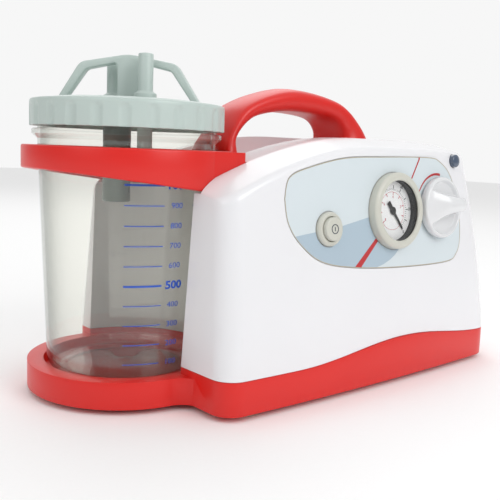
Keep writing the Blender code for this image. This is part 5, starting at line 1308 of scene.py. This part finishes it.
cage_line = rounded([(cage_bore - 0.003, CAGE_LOW, 0.0003), (CAGE_R, CAGE_LOW, 0.0008), (CAGE_R, cage_top, 0.0004),
                     (0.002, cage_top, 0),
                     (0.002, cage_roof, 0), (cage_bore, cage_roof, 0), (cage_bore, cage_lip, 0),
                     (cage_bore - 0.003, cage_lip, 0)], 3, closed=True)
cage = to_object("float_guide", spun(cage_line, 64), cage_plastic, CAGE_PLACE)
cut(cage, block((-2 * CAGE_R, -CAGE_WINDOW / 2, cage_lip + 0.004), (2 * CAGE_R, CAGE_WINDOW / 2, cage_roof - 0.006)),
    CAGE_PLACE)
put(shade(cage), "lid", "smoky_plastic", "float_cage")
float_plastic = moulding("moulded white polypropylene", "#DDE0DE", "#D5D9D7", 0.35)
float_low = cage_lip + GAP
float_line = rounded([(0, float_low, 0), (FLOAT_R, float_low, 0.001),
                      (FLOAT_R, float_low + FLOAT_LENGTH - 0.004, 0.0010),
                      (0.003, float_low + FLOAT_LENGTH, 0.0008), (0, float_low + FLOAT_LENGTH, 0)], 4)
put_turned("float_body", float_line, float_plastic, CAGE_PLACE, "float", "float_plastic", "float", 64)


# ---- Rear fittings
# A low-voltage inlet in black plastic, a barbed spigot in zinc-plated steel for the vacuum hose, and a blank
# aluminium rating plate with four rivets.
def in_bay(side_of):
    """A place on the back wall of the connector bay, facing out."""
    return BAY_BACK @ Matrix.Translation((side_of * BAY_WIDTH / 4, 0, 0)) @ TO_REAR


INLET_R, INLET_BORE, SPIGOT_R, SPIGOT_BORE = 0.0055, 0.0028, 0.0035, 0.002
inlet_line = rounded([(INLET_BORE, -0.006, 0), (INLET_R + 0.002, -0.006, 0), (INLET_R + 0.002, GAP, 0),
                      (INLET_R + 0.0045, GAP, 0),
                      (INLET_R + 0.0045, 0.003, 0.0008), (INLET_BORE + 0.0006, 0.003, 0.0003),
                      (INLET_BORE, 0.0024, 0.0003)], 4, closed=True)
inlet = to_object("charging_inlet", spun(inlet_line, 64), black_case, in_bay(-1))
join(inlet, disc(INLET_R + 0.002, -0.012, -0.005, 64), in_bay(-1))
put(shade(inlet), "chassis", "black_plastic", "power_inlet")
spigot_line = [(SPIGOT_BORE, -0.014), (SPIGOT_R, -0.014), (SPIGOT_R, GAP)]
spigot_line += rounded([(SPIGOT_R, GAP, 0), (SPIGOT_R + 0.003, GAP, 0.0003), (SPIGOT_R + 0.003, 0.002, 0.0005),
                        (SPIGOT_R, 0.002, 0.0003)], 3)[1:]
spigot_line += [(SPIGOT_R, 0.006), (SPIGOT_R + 0.0008, 0.006), (SPIGOT_R - 0.0004, 0.0105), (SPIGOT_R + 0.0008, 0.0105),
                (SPIGOT_R - 0.0006, 0.015), (SPIGOT_BORE, 0.015)]
put(shade(to_object("vacuum_hose_spigot", spun(spigot_line, 64), zinc, in_bay(1))), "chassis", "plated_steel",
    "vacuum_spigot")
PLATE_WIDTH, PLATE_HEIGHT, PLATE_THICK = 0.062, 0.028, 0.0006
plate_place = rear_frame(BAY_X, BAY_Z + BAY_HEIGHT / 2 + PLATE_HEIGHT / 2 + 0.012)
brushed = metal("brushed anodised aluminium", "#C9CBCE", "#B4B7BB", 0.35, 0.5, (0.04, 1.0, 1.0))
plate_line = rounded([(-PLATE_WIDTH / 2, -PLATE_HEIGHT / 2, 0.002), (PLATE_WIDTH / 2, -PLATE_HEIGHT / 2, 0.002),
                      (PLATE_WIDTH / 2, PLATE_HEIGHT / 2, 0.002), (-PLATE_WIDTH / 2, PLATE_HEIGHT / 2, 0.002)], 5,
                     closed=True)
plate = to_object("blank_rating_plate", prism([tuple(point) for point in plate_line], GAP, GAP + PLATE_THICK), brushed,
                  plate_place)
put(shade(plate), "chassis", "bare_aluminium", "rating_plate")
rivet = shade(to_object("rivet", spun([(0, GAP), (0.0012, GAP), (0.0012, GAP + 0.0008), (0.0009, GAP + 0.0012),
                                       (0, GAP + 0.0014)], 24)))
corner_spots = [Vector((x * (PLATE_WIDTH / 2 - 0.003), y * (PLATE_HEIGHT / 2 - 0.003), 0)) for x in (-1, 1)
                for y in (-1, 1)]
rivets = set_out("plate_rivets", rivet, corner_spots, zinc)
rivets.data.transform(plate_place)
put(rivets, "chassis", "bare_aluminium")


# ---- Pump and electrics inside
# A sealed-lead battery, a direct-current motor that turns a crank, a piston pump on a steel bracket with four rubber
# mounts, a circuit board with copper tracks under green solder mask, the brass regulator valve and a felt-filled
# silencer.
solder_mask, tree, shader = new_material("green solder mask over copper tracks")
coordinates = add_node(tree, "ShaderNodeTexCoord")
tracks = add_node(tree, "ShaderNodeTexBrick", {"Scale": 300.0, "Mortar Size": 0.03, "Color1": linear("#14532B"),
                                               "Color2": linear("#174F2B"),
                                               "Mortar": linear("#2C7A45")}, {"Vector": coordinates.outputs["Object"]})
tree.links.new(tracks.outputs["Color"], shader.inputs["Base Color"])
shader.inputs["Roughness"].default_value = 0.35
finishes = {
    "motor": metal("drawn nickel plated steel", "#B4B6BA", "#A3A6AB", 0.28, 0.7),
    "pump_bracket": zinc,
    "pump_cylinder": metal("machined aluminium", "#C6C8CB", "#B5B8BC", 0.32, 0.6),
    "cylinder_head": metal("die cast aluminium", "#B9BBBE", "#A9ACAF", 0.45, 0.9),
    "regulator_valve": metal("turned brass", "#C9A650", "#B89643", 0.25, 0.5),
    "circuit_board": solder_mask,
    "battery_pack": moulding("moulded charcoal ABS", "#2A2C30", "#26282B", 0.5),
    "power_switch": black_case,
    "crank": moulding("moulded black acetal", "#191A1C", "#151618", 0.35),
    "piston": moulding("turned black nylon", "#202124", "#1B1C1E", 0.4),
    "exhaust_silencer": moulding("moulded pale polypropylene", "#D6D7D5", "#CFD0CE", 0.45),
}
for corner in ("fl", "fr", "rl", "rr"):
    finishes["rubber_mount_" + corner] = beige_rubber
for name, finish_of in finishes.items():
    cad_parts[name].data.materials.clear()
    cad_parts[name].data.materials.append(finish_of)
